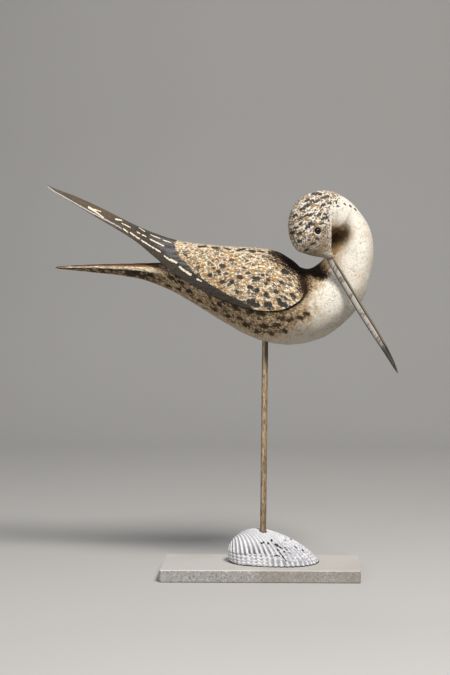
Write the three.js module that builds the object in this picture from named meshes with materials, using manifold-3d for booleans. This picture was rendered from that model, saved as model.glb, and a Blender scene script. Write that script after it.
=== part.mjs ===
// A carved and painted shorebird that preens its breast with a long bill.
// It stands on one thin wooden leg, which rises out of half a ribbed sea shell on a flat slab.
// Units are millimetres and +Z is up. +X is the way that the bird's breast faces, and -Y is the side
// that its head is laid over. The origin is the middle of the slab's underside.

import * as THREE from 'three';
import { mergeVertices } from 'three/addons/utils/BufferGeometryUtils.js';
import Module from 'manifold-3d';

const wasm = await Module();
wasm.setup();

// Slab
const BASE_LENGTH = 203.2;
const BASE_DEPTH = 88.9;
const BASE_THICKNESS = 12.7;
const BASE_CORNER_RADIUS = 2.5;
const BASE_EASED_EDGE = 0.9;

// Leg
const LEG_DIAMETER = 6.35;
const LEG_ABOVE_BASE = 226;
const LEG_IN_BASE = 8;
const LEG_IN_BODY = 22;
const LEG_OFF_CENTRE = 2.1;
const LEG_LEAN_DEGREES = 0.6;
const LEG_END_CHAMFER = 0.6;

// Half shell
const SHELL_LENGTH = 94.5;
const SHELL_DEPTH = 63;
const SHELL_HEIGHT = 33.5;
const SHELL_WALL = 2.8;
const RIB_COUNT = 44;
const RIB_HEIGHT = 0.8;

// Bird
const BIRD_LENGTH = 333;
const BODY_WIDTH = 70;
const WING_RELIEF = 2.4;
const WING_FAIRING = 6;
const HOLLOW_LENGTH = 27;
const HOLLOW_WIDTH = 17;
const HOLLOW_DEPTH = 13;

// Bill
const BILL_LENGTH = 136;
const BILL_HEIGHT = 8.2;
const BILL_WIDTH = 6.4;
const BILL_BOW = 1.2;
const BILL_PEG_LENGTH = 10;
const BILL_DROP_DEGREES = 59.4;
const BILL_CLEAR_OF_BREAST = 1.5;

// Eyes
const EYE_DIAMETER = 6.2;
const EYE_SUNK = 1.1;

// Space between pieces that touch, and how finely the round shapes are faceted
const FIT_GAP = 0.3;
const STEPS_PER_STATION = 2;
const SIDES_OF_BODY = 28;
const SIDES_OF_LEG = 20;
const SIDES_OF_BILL = 12;
const SIDES_OF_EYE = 12;

const halfBody = BODY_WIDTH / 2;

// The stations of the carving, drawn at its real size. Each one joins a point on the back to a point on
// the belly, [along, up] from the top of the leg. From the tail they run along the body and round the
// breast, then up the neck, where back means the inside of the curl and belly the outside.
// wide is the half width and aside the shift towards the near side, both as shares of half the body's
// width, and full says how much fuller the belly side of the section is than its back side.
const TRUNK_STATIONS = [
  { back: [-214.5, 78.4], belly: [-214.5, 77.2], wide: 0.06, aside: 0, full: -0.3 },
  { back: [-212, 78.9], belly: [-212, 76.4], wide: 0.15, aside: 0, full: -0.3 },
  { back: [-205, 79.4], belly: [-205, 75.4], wide: 0.22, aside: 0, full: -0.4 },
  { back: [-191, 80.2], belly: [-191, 74.2], wide: 0.28, aside: 0, full: -0.5 },
  { back: [-171, 81.2], belly: [-171, 71.9], wide: 0.33, aside: 0, full: -0.5 },
  { back: [-148, 81.8], belly: [-148, 69.2], wide: 0.37, aside: 0, full: -0.4 },
  { back: [-125, 82.3], belly: [-124, 64.6], wide: 0.42, aside: 0, full: -0.3 },
  { back: [-103, 84], belly: [-98, 54.8], wide: 0.5, aside: 0, full: -0.2 },
  { back: [-80, 93], belly: [-71, 39.5], wide: 0.66, aside: 0, full: -0.05 },
  { back: [-55, 98.2], belly: [-43, 22.3], wide: 0.83, aside: 0, full: 0.02 },
  { back: [-29.5, 97], belly: [-15.5, 7.4], wide: 0.95, aside: 0, full: 0.06 },
  { back: [-3, 95], belly: [12.5, -0.5], wide: 1, aside: 0, full: 0.1 },
  { back: [17.5, 89], belly: [38, 0], wide: 0.99, aside: 0, full: 0.12 },
  { back: [31, 81], belly: [62.5, 8], wide: 0.95, aside: 0, full: 0.15 },
  { back: [39.5, 77.3], belly: [84, 24.5], wide: 0.88, aside: 0, full: 0.2 },
  { back: [46, 77.3], belly: [99.5, 45.5], wide: 0.81, aside: 0, full: 0.25 },
  { back: [53, 81], belly: [107.5, 71], wide: 0.75, aside: 0, full: 0.28 },
  { back: [60, 87.3], belly: [110.5, 95.5], wide: 0.69, aside: 0.01, full: 0.3 },
  { back: [63.5, 94], belly: [107.5, 115], wide: 0.63, aside: 0.05, full: 0.28 },
  { back: [65, 101], belly: [98.5, 132], wide: 0.58, aside: 0.12, full: 0.24 },
];
const HEAD_STATIONS = [
  { back: [65, 101], belly: [98.5, 132], wide: 0.58, aside: 0.12, full: 0.24 },
  { back: [67, 105.5], belly: [84.5, 146.2], wide: 0.56, aside: 0.22, full: 0.2 },
  { back: [68, 107], belly: [68, 154.5], wide: 0.56, aside: 0.34, full: 0.16 },
  { back: [68.3, 106.5], belly: [51.5, 155.2], wide: 0.57, aside: 0.45, full: 0.12 },
  { back: [68.5, 104.5], belly: [37, 148.5], wide: 0.585, aside: 0.55, full: 0.08 },
  { back: [67.6, 103], belly: [27.3, 137.5], wide: 0.59, aside: 0.62, full: 0.06 },
  { back: [67.3, 101], belly: [23.3, 123], wide: 0.575, aside: 0.68, full: 0.05 },
  { back: [67.3, 99], belly: [25, 107.5], wide: 0.515, aside: 0.73, full: 0.05 },
  { back: [67.6, 97], belly: [31.5, 96], wide: 0.42, aside: 0.77, full: 0.05 },
  { back: [68, 95], belly: [42.5, 91], wide: 0.32, aside: 0.8, full: 0.02 },
  { back: [68.6, 93], belly: [52.5, 88.8], wide: 0.25, aside: 0.83, full: 0 },
  { back: [68.8, 91], belly: [60, 87.6], wide: 0.19, aside: 0.845, full: 0 },
];

// The pair of folded wings, seen from the side: its top line, its lower edge and how wide the lower edge
// stands apart, as a share of half the body's width. The last few stations round the shoulder.
const WING_STATIONS = [
  { along: -222, top: 161.6, low: 160.2, wide: 0.03 },
  { along: -213, top: 157.6, low: 153.4, wide: 0.07 },
  { along: -193.5, top: 150.4, low: 142, wide: 0.13 },
  { along: -172.5, top: 141, low: 129.5, wide: 0.2 },
  { along: -151.5, top: 130.5, low: 117.3, wide: 0.27 },
  { along: -131, top: 120.4, low: 104.5, wide: 0.36 },
  { along: -112, top: 112.5, low: 89, wide: 0.48 },
  { along: -90, top: 105.6, low: 71.5, wide: 0.6 },
  { along: -66.5, top: 102, low: 57.5, wide: 0.7 },
  { along: -36, top: 99.4, low: 43.5, wide: 0.76 },
  { along: -8, top: 98, low: 35.8, wide: 0.78 },
  { along: 12, top: 94.2, low: 35.3, wide: 0.78 },
  { along: 24, top: 87.8, low: 38.6, wide: 0.76 },
  { along: 31.5, top: 82.3, low: 42.8, wide: 0.74 },
  { along: 36.5, top: 76.5, low: 47.3, wide: 0.72 },
  { along: 39.3, top: 68, low: 54, wide: 0.7 },
];

// One factor carries the drawn stations to the length asked for, wing tip to breast
const drawnLength = Math.max(...TRUNK_STATIONS.map((s) => s.belly[0])) - WING_STATIONS[0].along;
const birdScale = BIRD_LENGTH / drawnLength;

// Solids

function outward(geometry) {
  const { array } = geometry.attributes.position;
  const index = Array.from(geometry.index.array);
  const corner = (i) => new THREE.Vector3().fromArray(array, 3 * index[i]);
  let volume = 0;
  for (let i = 0; i < index.length; i += 3) {
    volume += corner(i).dot(corner(i + 1).cross(corner(i + 2)));
  }
  if (volume < 0) geometry.setIndex(index.reverse());
  return geometry;
}

// A closed skin over rings of points, each ring with the same count, with a fan at either end
function loft(rings) {
  const around = rings[0].length;
  const middle = (ring) => ring.reduce((sum, p) => sum.add(p), new THREE.Vector3()).divideScalar(around);
  const points = [...rings.flat(), middle(rings[0]), middle(rings.at(-1))];
  const firstHub = points.length - 2;
  const lastHub = points.length - 1;
  const index = [];
  for (let i = 0; i < around; i += 1) {
    const next = (i + 1) % around;
    for (let r = 0; r < rings.length - 1; r += 1) {
      const a = r * around + i;
      const b = r * around + next;
      index.push(a, b, b + around, a, b + around, a + around);
    }
    const end = (rings.length - 1) * around;
    index.push(firstHub, next, i, lastHub, end + i, end + next);
  }
  const geometry = new THREE.BufferGeometry().setFromPoints(points);
  geometry.setIndex(index);
  return outward(geometry);
}

function toSolid(geometry) {
  const bare = geometry.clone();
  bare.deleteAttribute('normal');
  bare.deleteAttribute('uv');
  const merged = mergeVertices(bare);
  return new wasm.Manifold(new wasm.Mesh({
    numProp: 3,
    vertProperties: merged.attributes.position.array,
    triVerts: merged.index.array,
  }));
}

function toGeometry(solid) {
  const { vertProperties, triVerts } = solid.getMesh();
  const geometry = new THREE.BufferGeometry();
  geometry.setAttribute('position', new THREE.BufferAttribute(vertProperties, 3));
  geometry.setIndex(new THREE.BufferAttribute(triVerts, 1));
  geometry.computeVertexNormals();
  return geometry;
}

// Lines and sections of the carving

function curveThrough(points) {
  return new THREE.CatmullRomCurve3(points, false, 'catmullrom', 0.5);
}

// A form drawn by stations: section(s) gives its section at s, from 0 at the first station to 1 at the last
function form(stations) {
  const line = (key) => curveThrough(
    stations.map((s) => new THREE.Vector3(s[key][0], 0, s[key][1]).multiplyScalar(birdScale)),
  );
  const back = line('back');
  const belly = line('belly');
  const shares = curveThrough(stations.map((s) => new THREE.Vector3(s.wide, s.aside, s.full)));
  const section = (s) => {
    const { x: wide, y: aside, z: full } = shares.getPoint(s);
    return {
      back: back.getPoint(s),
      belly: belly.getPoint(s),
      wide: wide * halfBody,
      aside: aside * halfBody,
      full,
    };
  };
  return { section, spans: stations.length - 1 };
}

// Half the width of a section at a depth that runs from -1 at the back to 1 at the belly
function halfWidth(section, depth) {
  return section.wide * Math.sqrt(Math.max(0, 1 - depth * depth)) * (1 + section.full * depth);
}

// The point of a form's skin at s, with the turn counted from the back over the near side to the belly
function skinPoint(shape, s, turn) {
  const section = shape.section(s);
  const depth = -Math.cos(turn);
  const point = section.back.clone().lerp(section.belly, (1 + depth) / 2);
  point.y = -section.aside - Math.sign(Math.sin(turn)) * halfWidth(section, depth);
  return point;
}

function skin(shape) {
  const rings = [];
  const steps = shape.spans * STEPS_PER_STATION;
  for (let r = 0; r <= steps; r += 1) {
    const ring = [];
    for (let i = 0; i < SIDES_OF_BODY; i += 1) {
      ring.push(skinPoint(shape, r / steps, (2 * Math.PI * i) / SIDES_OF_BODY));
    }
    rings.push(ring);
  }
  return loft(rings);
}

const trunk = form(TRUNK_STATIONS);
const head = form(HEAD_STATIONS);

// How far the trunk's skin, grown by proud all round, stands off the middle plane at a point seen from the
// side. A ridge, where one is given, is the height that the upper half of the section is stretched to.
// Sections fan, so the one through the point is found by halving.
const HALVINGS = 24;

function trunkHalfWidthAt(x, z, proud, ridge = null) {
  const side = (s) => {
    const { back, belly } = trunk.section(s);
    return (belly.x - back.x) * (z - back.z) - (belly.z - back.z) * (x - back.x);
  };
  let low = 0;
  let high = 1;
  for (let i = 0; i < HALVINGS; i += 1) {
    const middle = (low + high) / 2;
    if (side(middle) > 0) low = middle;
    else high = middle;
  }
  const section = trunk.section(low);
  const line = section.belly.clone().sub(section.back);
  const reach = line.length() / 2;
  const fromMiddle = new THREE.Vector3(x, 0, z).sub(section.back).dot(line.normalize()) - reach;
  const stretch = ridge === null || fromMiddle > 0 ? proud : ridge - section.back.z;
  const depth = fromMiddle / (reach + stretch);
  const grown = { ...section, wide: section.wide + proud };
  return Math.abs(depth) < 1 ? halfWidth(grown, depth) : 0;
}

// Wings: one blade over the back, with a step all along its lower edge where it lies on the flank, and a
// hollow underside where it stands free. Points on its face crowd towards the ridge, and a fairing fills
// the crease where the free part of the blade runs on to the flank.
const WING_FACE_POINTS = 7;
const RIDGE_CROWDING = 1.5;
const FACE_BULGE = 0.7;
const UNDERSIDE_HOLLOW = 0.3;

function wingsGeometry() {
  const outline = curveThrough(
    WING_STATIONS.map((s) => new THREE.Vector3(s.along, s.top, s.low).multiplyScalar(birdScale)),
  );
  const widths = curveThrough(WING_STATIONS.map((s) => new THREE.Vector3(s.wide * halfBody, 0, 0)));
  const steps = (WING_STATIONS.length - 1) * STEPS_PER_STATION;
  const rings = [];
  for (let r = 0; r <= steps; r += 1) {
    const { x: along, y: top, z: low } = outline.getPoint(r / steps);
    const edge = widths.getPoint(r / steps).x;
    const face = [];
    for (let i = 1; i <= WING_FACE_POINTS; i += 1) {
      const down = (i / WING_FACE_POINTS) ** RIDGE_CROWDING;
      const z = top + (low - top) * down;
      const blade = edge * Math.sin((Math.PI / 2) * down) ** FACE_BULGE;
      const flank = trunkHalfWidthAt(along, z, WING_RELIEF, top);
      const fairing = Math.max(0, WING_FAIRING - Math.abs(blade - flank)) ** 2 / (4 * WING_FAIRING);
      face.push([Math.max(blade, flank) + fairing * down, z]);
    }
    const near = face.map(([reach, z]) => new THREE.Vector3(along, -reach, z));
    const far = face.map(([reach, z]) => new THREE.Vector3(along, reach, z)).reverse();
    const ridge = new THREE.Vector3(along, 0, top);
    const under = new THREE.Vector3(along, 0, low + (top - low) * UNDERSIDE_HOLLOW);
    rings.push([ridge, ...near, under, ...far]);
  }
  return loft(rings);
}

// Bill: a tapered stick, nearly straight, that leaves the face and clears the breast
const billRoot = skinPoint(head, 1, 0).add(skinPoint(head, 1, Math.PI)).multiplyScalar(0.5);
const billDrop = THREE.MathUtils.degToRad(BILL_DROP_DEGREES);
const BREAST_REACH = [0.1, 0.15, 0.2, 0.25, 0.3, 0.35, 0.4, 0.45];

// How far the bill swings out for each millimetre forward, so that it passes clear of the breast
const billSwing = Math.max(...BREAST_REACH.map((share) => {
  const forward = share * BILL_LENGTH;
  const x = billRoot.x + forward * Math.cos(billDrop);
  const z = billRoot.z - forward * Math.sin(billDrop);
  return (trunkHalfWidthAt(x, z, 0) + BILL_WIDTH / 2 + BILL_CLEAR_OF_BREAST + billRoot.y) / forward;
}));
const billAxis = new THREE.Vector3(Math.cos(billDrop), -billSwing, -Math.sin(billDrop)).normalize();

// How far along the bill, how thick it is there and how far it bows upwards, as shares of the whole
const BILL_STATIONS = [
  { forward: 0, thick: 0.88, bow: 0 },
  { forward: 0.15, thick: 0.96, bow: 0.05 },
  { forward: 0.45, thick: 1, bow: 0.3 },
  { forward: 0.65, thick: 0.94, bow: 0.85 },
  { forward: 0.8, thick: 0.72, bow: 1 },
  { forward: 0.9, thick: 0.52, bow: 0.75 },
  { forward: 0.96, thick: 0.32, bow: 0.35 },
  { forward: 1, thick: 0.08, bow: 0 },
];

function billRing(centre, thick, grow) {
  const side = new THREE.Vector3(0, 1, 0);
  const across = side.clone().cross(billAxis).normalize();
  side.crossVectors(billAxis, across);
  const ring = [];
  for (let i = 0; i < SIDES_OF_BILL; i += 1) {
    const turn = (2 * Math.PI * i) / SIDES_OF_BILL;
    ring.push(centre.clone()
      .addScaledVector(across, Math.cos(turn) * ((thick * BILL_HEIGHT) / 2 + grow))
      .addScaledVector(side, Math.sin(turn) * ((thick * BILL_WIDTH) / 2 + grow)));
  }
  return ring;
}

const PEG_TAPER = 0.75;

function billGeometry() {
  const rings = [billRing(billRoot.clone().addScaledVector(billAxis, -BILL_PEG_LENGTH), PEG_TAPER, 0)];
  for (const { forward, thick, bow } of BILL_STATIONS) {
    const centre = billRoot.clone().addScaledVector(billAxis, forward * BILL_LENGTH);
    centre.x += bow * BILL_BOW * Math.sin(billDrop);
    centre.z += bow * BILL_BOW * Math.cos(billDrop);
    rings.push(billRing(centre, thick, 0));
  }
  return loft(rings);
}

function billSocket() {
  const deep = billRoot.clone().addScaledVector(billAxis, -BILL_PEG_LENGTH - FIT_GAP);
  const clear = billRoot.clone().addScaledVector(billAxis, BILL_HEIGHT);
  const root = BILL_STATIONS[0].thick;
  return toSolid(loft([
    billRing(deep, PEG_TAPER, FIT_GAP),
    billRing(billRoot, root, FIT_GAP),
    billRing(clear, root, FIT_GAP),
  ]));
}

// Eyes: glass balls sunk in the head, one on its near cheek and one over the crown from it
const EYE_PLACES = {
  eye_near: { station: 0.4625, turn: 1.27 },
  eye_far: { station: 0.56, turn: 3.9 },
};

function eyeCentre({ station, turn }) {
  const step = 0.01;
  const point = skinPoint(head, station, turn);
  const alongHead = skinPoint(head, station + step, turn).sub(skinPoint(head, station - step, turn));
  const roundHead = skinPoint(head, station, turn + step).sub(skinPoint(head, station, turn - step));
  const out = alongHead.cross(roundHead).normalize();
  const { back, belly, aside } = head.section(station);
  const middle = back.clone().add(belly).multiplyScalar(0.5);
  middle.y = -aside;
  if (out.dot(point.clone().sub(middle)) < 0) out.negate();
  return point.addScaledVector(out, -EYE_SUNK);
}

function ball(radius) {
  return new THREE.SphereGeometry(radius, SIDES_OF_EYE, SIDES_OF_EYE / 2);
}

// Leg: a plain dowel, drawn upright from the slab's top and leaned about its foot
const legLean = THREE.MathUtils.degToRad(LEG_LEAN_DEGREES);
const legFoot = new THREE.Vector3(LEG_OFF_CENTRE, 0, BASE_THICKNESS);
const legAxis = new THREE.Vector3(Math.sin(legLean), 0, Math.cos(legLean));
const birdPlace = legFoot.clone().addScaledVector(legAxis, LEG_ABOVE_BASE);

function dowel(from, to, radius, chamfer) {
  const profile = [[0, from], [radius - chamfer, from], [radius, from + chamfer], [radius, to - chamfer],
    [radius - chamfer, to], [0, to]];
  const geometry = new THREE.LatheGeometry(profile.map(([r, z]) => new THREE.Vector2(r, z)), SIDES_OF_LEG);
  return geometry.rotateX(Math.PI / 2).rotateY(legLean);
}

function legHole(from, to) {
  return toSolid(dowel(from, to, LEG_DIAMETER / 2 + FIT_GAP, LEG_END_CHAMFER));
}

// Hollow between the cheek and the neck: an egg-shaped scoop carved in from the near side
const HOLLOW_PLACE = [75, 107.5];
const HOLLOW_TILT_DEGREES = 18;
const HOLLOW_ASIDE = 0.53;
const SIDES_OF_HOLLOW = 20;
const ROWS_OF_HOLLOW = 14;

function hollowScoop() {
  const scoop = new THREE.SphereGeometry(1, SIDES_OF_HOLLOW, ROWS_OF_HOLLOW);
  const [along, up] = HOLLOW_PLACE;
  const mouth = HOLLOW_ASIDE * halfBody;
  scoop.scale(HOLLOW_WIDTH / 2, HOLLOW_DEPTH, HOLLOW_LENGTH / 2);
  scoop.rotateY(THREE.MathUtils.degToRad(HOLLOW_TILT_DEGREES));
  scoop.translate(along * birdScale, -mouth, up * birdScale);
  return toSolid(scoop);
}

function birdGeometry() {
  let solid = toSolid(skin(trunk)).add(toSolid(skin(head))).add(toSolid(wingsGeometry()));
  solid = solid.subtract(hollowScoop());
  for (const place of Object.values(EYE_PLACES)) {
    const socket = ball(EYE_DIAMETER / 2 + FIT_GAP).translate(...eyeCentre(place).toArray());
    solid = solid.subtract(toSolid(socket));
  }
  const legTop = legHole(-LEG_IN_BODY, LEG_IN_BODY + FIT_GAP);
  return toGeometry(solid.subtract(billSocket()).subtract(legTop));
}

// Half shell: a lopsided dome. Ribs fan over it from the beak, which lies at the back on the left.
// Places on it are shares of its length from the left, and of its depth from the front.
const WIDEST_SHARE = [0.624, 0.54];
const SUMMIT_SHARE = 0.328;
const LEG_SHARE = [0.394, 0.44];
const BEAK_SHARE = [0.06, 0.78];
const RIM_FULLNESS = 2.25;
const LEFT_END_FULLNESS = 2.3;
const RIGHT_SLOPE = { start: 1.7, end: 0.85 };
const SAMPLES_PER_RIB = 3;
const SHELL_ROWS = 8;
const ROW_CROWDING = 0.8;
const ribs = Math.round(RIB_COUNT);

function shellPlace([along, deep]) {
  return new THREE.Vector2(along * SHELL_LENGTH, deep * SHELL_DEPTH);
}

// How far the rim lies from the place where the shell is widest, along and across, on the side of a point
function rimReach(fromWidest, inset) {
  const [along, deep] = WIDEST_SHARE;
  return new THREE.Vector2(
    (fromWidest.x < 0 ? along : 1 - along) * SHELL_LENGTH - inset,
    (fromWidest.y < 0 ? deep : 1 - deep) * SHELL_DEPTH - inset,
  );
}

// The rim seen from above: four quarter ovals, each a little fuller than an ellipse
function rimPoint(turn, inset) {
  const round = (v) => Math.sign(v) * Math.abs(v) ** (2 / RIM_FULLNESS);
  const direction = new THREE.Vector2(round(Math.cos(turn)), round(Math.sin(turn)));
  return shellPlace(WIDEST_SHARE).add(direction.multiply(rimReach(direction, inset)));
}

// Turns that part the rim into stretches of equal length
const RIM_STEPS = 720;

function evenTurns(count) {
  const turnAt = (step) => (2 * Math.PI * step) / RIM_STEPS;
  const lengths = [0];
  for (let step = 1; step <= RIM_STEPS; step += 1) {
    const stretch = rimPoint(turnAt(step), 0).distanceTo(rimPoint(turnAt(step - 1), 0));
    lengths.push(lengths.at(-1) + stretch);
  }
  return Array.from({ length: count }, (_, i) => {
    const wanted = (lengths.at(-1) * i) / count;
    const after = lengths.findIndex((length) => length > wanted);
    const share = (wanted - lengths[after - 1]) / (lengths[after] - lengths[after - 1]);
    return turnAt(after - 1 + share);
  });
}

// Height of the dome over a place on the slab: steep and round at the left, a long slope to the right
function shellHeight(place, inset) {
  const oval = (share, fullness) => Math.max(0, 1 - Math.min(1, share) ** fullness) ** (1 / fullness);
  const slope = (share) => Math.max(0, 1 - share ** RIGHT_SLOPE.start) ** RIGHT_SLOPE.end;
  const summit = SUMMIT_SHARE * SHELL_LENGTH;
  const crest = place.x < summit
    ? oval((summit - place.x) / (summit - inset), LEFT_END_FULLNESS)
    : slope((place.x - summit) / (SHELL_LENGTH - inset - summit));
  const fromWidest = place.clone().sub(shellPlace(WIDEST_SHARE));
  const reach = rimReach(fromWidest, inset);
  const halfDepth = reach.y * oval(Math.abs(fromWidest.x) / reach.x, RIM_FULLNESS);
  return (SHELL_HEIGHT - inset) * crest * oval(Math.abs(fromWidest.y) / Math.max(halfDepth, FIT_GAP), 2);
}

// A solid dome whose skin lies inset within the shell's, with its ribs, and with a skirt down to the floor
function shellDome(inset, ribHeight, around, floor) {
  const beak = shellPlace(BEAK_SHARE);
  const widest = shellPlace(WIDEST_SHARE);
  beak.lerp(widest, inset / beak.distanceTo(widest));
  const turns = evenTurns(around);
  const rings = [];
  for (let row = 1; row <= SHELL_ROWS; row += 1) {
    const out = Math.sin((Math.PI / 2) * (row / SHELL_ROWS)) ** ROW_CROWDING;
    const ring = [];
    for (let i = 0; i < around; i += 1) {
      const place = beak.clone().lerp(rimPoint(turns[i], inset), out);
      const rib = ribHeight * out * Math.cos((2 * Math.PI * i * ribs) / around);
      const height = row === SHELL_ROWS ? 0 : Math.max(0, shellHeight(place, inset) + rib);
      place.add(place.clone().sub(beak).setLength(rib));
      ring.push(new THREE.Vector3(place.x, place.y, height));
    }
    rings.push(ring);
  }
  rings.push(rings.at(-1).map((p) => new THREE.Vector3(p.x, p.y, floor)));
  const geometry = loft(rings);
  const firstHub = geometry.attributes.position.count - 2;
  geometry.attributes.position.setXYZ(firstHub, beak.x, beak.y, shellHeight(beak, inset));
  return toSolid(geometry);
}

function shellGeometry() {
  const rimThickness = SHELL_WALL / 4;
  const outer = shellDome(0, RIB_HEIGHT, ribs * SAMPLES_PER_RIB, -rimThickness);
  const inner = shellDome(SHELL_WALL, 0, Math.round(ribs / 2), -2 * rimThickness);
  const leg = shellPlace(LEG_SHARE);
  const shell = outer.subtract(inner).translate([-leg.x, -leg.y, FIT_GAP + rimThickness]);
  return toGeometry(shell.subtract(legHole(-rimThickness, 2 * SHELL_HEIGHT)));
}

// Slab: a board with slightly rounded corners and eased edges, and a blind hole for the leg
const SIDES_OF_CORNER = 3;

function slabGeometry() {
  const outline = new THREE.Shape();
  const x = BASE_LENGTH / 2;
  const y = BASE_DEPTH / 2;
  const r = BASE_CORNER_RADIUS;
  outline.absarc(x - r, y - r, r, 0, Math.PI / 2);
  outline.absarc(r - x, y - r, r, Math.PI / 2, Math.PI);
  outline.absarc(r - x, r - y, r, Math.PI, 1.5 * Math.PI);
  outline.absarc(x - r, r - y, r, 1.5 * Math.PI, 2 * Math.PI);
  outline.closePath();
  const board = new THREE.ExtrudeGeometry(outline, {
    depth: BASE_THICKNESS - 2 * BASE_EASED_EDGE,
    curveSegments: SIDES_OF_CORNER,
    bevelThickness: BASE_EASED_EDGE,
    bevelSize: BASE_EASED_EDGE,
    bevelOffset: -BASE_EASED_EDGE,
    bevelSegments: 1,
  }).translate(0, 0, BASE_EASED_EDGE);
  const hole = legHole(-LEG_IN_BASE - FIT_GAP, BASE_THICKNESS).translate(legFoot.toArray());
  return toGeometry(toSolid(board).subtract(hole));
}

function piece(name, geometry, look) {
  const mesh = new THREE.Mesh(geometry, new THREE.MeshStandardMaterial(look));
  mesh.name = name;
  return mesh;
}

const decoy = new THREE.Group();
decoy.add(piece('base_slab', slabGeometry(), { color: 0xb9b3a8, roughness: 0.7, metalness: 0 }));

const onSlab = new THREE.Group();
onSlab.position.copy(legFoot);
onSlab.add(piece('sea_shell', shellGeometry(), { color: 0xdedee0, roughness: 0.6, metalness: 0 }));
onSlab.add(piece(
  'leg_dowel',
  dowel(-LEG_IN_BASE, LEG_ABOVE_BASE + LEG_IN_BODY, LEG_DIAMETER / 2, LEG_END_CHAMFER),
  { color: 0x8d7350, roughness: 0.75, metalness: 0 },
));
decoy.add(onSlab);

const bird = new THREE.Group();
bird.position.copy(birdPlace);
bird.add(piece('bird_body', birdGeometry(), { color: 0xb59d78, roughness: 0.55, metalness: 0 }));
bird.add(piece('bill', billGeometry(), { color: 0x6f665d, roughness: 0.45, metalness: 0 }));
for (const [name, place] of Object.entries(EYE_PLACES)) {
  const eye = piece(name, ball(EYE_DIAMETER / 2), { color: 0x0b0a09, roughness: 0.08, metalness: 0 });
  eye.position.copy(eyeCentre(place));
  bird.add(eye);
}
decoy.add(bird);

export default decoy;
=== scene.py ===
# A carved and painted shorebird that preens its breast with a long bill, on a thin wooden leg that
# rises out of half a ribbed sea shell on a flat stone slab. Metres, +Z up, in the frame of the CAD.

import math
import bmesh
import bpy
import numpy as np
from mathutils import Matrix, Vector
from mathutils.bvhtree import BVHTree
from mathutils.kdtree import KDTree


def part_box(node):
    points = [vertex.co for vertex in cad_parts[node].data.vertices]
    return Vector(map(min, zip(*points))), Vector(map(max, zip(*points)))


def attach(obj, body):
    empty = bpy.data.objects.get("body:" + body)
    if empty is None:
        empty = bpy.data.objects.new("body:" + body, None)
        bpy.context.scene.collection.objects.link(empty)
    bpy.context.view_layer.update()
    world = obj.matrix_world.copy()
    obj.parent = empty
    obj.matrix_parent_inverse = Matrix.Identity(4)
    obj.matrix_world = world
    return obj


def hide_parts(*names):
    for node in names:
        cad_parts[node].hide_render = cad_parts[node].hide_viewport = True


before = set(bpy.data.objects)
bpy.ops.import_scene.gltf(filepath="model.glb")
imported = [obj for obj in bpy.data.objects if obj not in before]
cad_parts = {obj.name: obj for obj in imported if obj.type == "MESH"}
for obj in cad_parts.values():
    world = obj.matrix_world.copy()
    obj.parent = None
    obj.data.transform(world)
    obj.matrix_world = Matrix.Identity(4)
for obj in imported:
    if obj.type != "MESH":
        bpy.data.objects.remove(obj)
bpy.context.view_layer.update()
MM = 0.001


# Slab
# A flat board of pale stone about half an inch thick. Its top is honed, its front edge is sawn and
# speckled, and its edges are eased by hand and a little chipped. The leg is glued in a blind hole.

SLAB_CORNER_RADIUS = 2.5 * MM
SLAB_EASED_EDGE = 0.9 * MM
SLAB_CHIP_DEPTH = 0.35 * MM
SLAB_WEAR_REACH = 2.4 * MM
SLAB_STEP = 1.5 * MM
SLAB_TOP_STEP = 3 * MM
SLAB_TOP_INSET = 0.97
SPECK_SHARPNESS = 14.0
STONE_TOP = (0.585, 0.56, 0.53)
STONE_EDGE_HIGHLIGHT = (0.8, 0.77, 0.72)
STONE_FRONT = (0.42, 0.405, 0.385)
STONE_LIGHT = (0.62, 0.6, 0.575)
STONE_SPECK_AND_FOOT_SHADE = (0.17, 0.16, 0.15)
STONE_STAIN = (0.26, 0.21, 0.16)


def ripple(points, size, seed, waves=16):
    """Smooth irregular values, mostly from -1 to 1, that change over about size metres."""
    rng = np.random.default_rng(seed)
    directions = rng.normal(size=(waves, 3))
    directions /= np.linalg.norm(directions, axis=1, keepdims=True)
    pitch = size * rng.uniform(0.7, 1.6, waves)
    phase = rng.uniform(0, 2 * np.pi, waves)
    waved = np.sin((points @ directions.T) * (2 * np.pi / pitch) + phase)
    return waved.sum(1) / math.sqrt(waves)


def soft_step(low, high, values):
    share = np.clip((values - low) / (high - low), 0, 1)
    return share * share * (3 - 2 * share)


def make_piece(name, points, faces, slot, node):
    """A smooth mesh. With a slot it stands for a CAD node, whose part it hides, and rides on the decoy."""
    mesh = bpy.data.meshes.new(name)
    mesh.from_pydata(np.asarray(points).tolist(), [], faces)
    mesh.validate()
    piece = bpy.data.objects.new(name, mesh)
    bpy.context.scene.collection.objects.link(piece)
    mesh.shade_smooth()
    if slot:
        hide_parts(node)
        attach(piece, "root")
    return piece


def ring_faces(rows, around, first=0):
    """Quads between rows of points that each close on themselves."""
    faces = []
    for row in range(rows - 1):
        for i in range(around):
            a = first + row * around + i
            b = first + row * around + (i + 1) % around
            faces.append((a, b, b + around, a + around))
    return faces


def closed_skin(rings, turned=False):
    """Points and faces of a body drawn by rings, closed by a fan at either end."""
    rows, around = rings.shape[:2]
    points = np.concatenate([rings.reshape(-1, 3), [rings[0].mean(0)], [rings[-1].mean(0)]])
    faces = ring_faces(rows, around)
    start = rows * around
    last = (rows - 1) * around
    for i in range(around):
        after = (i + 1) % around
        faces.append((start, after, i))
        faces.append((start + 1, last + i, last + after))
    if turned:
        faces = [face[::-1] for face in faces]
    return points, faces


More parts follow.
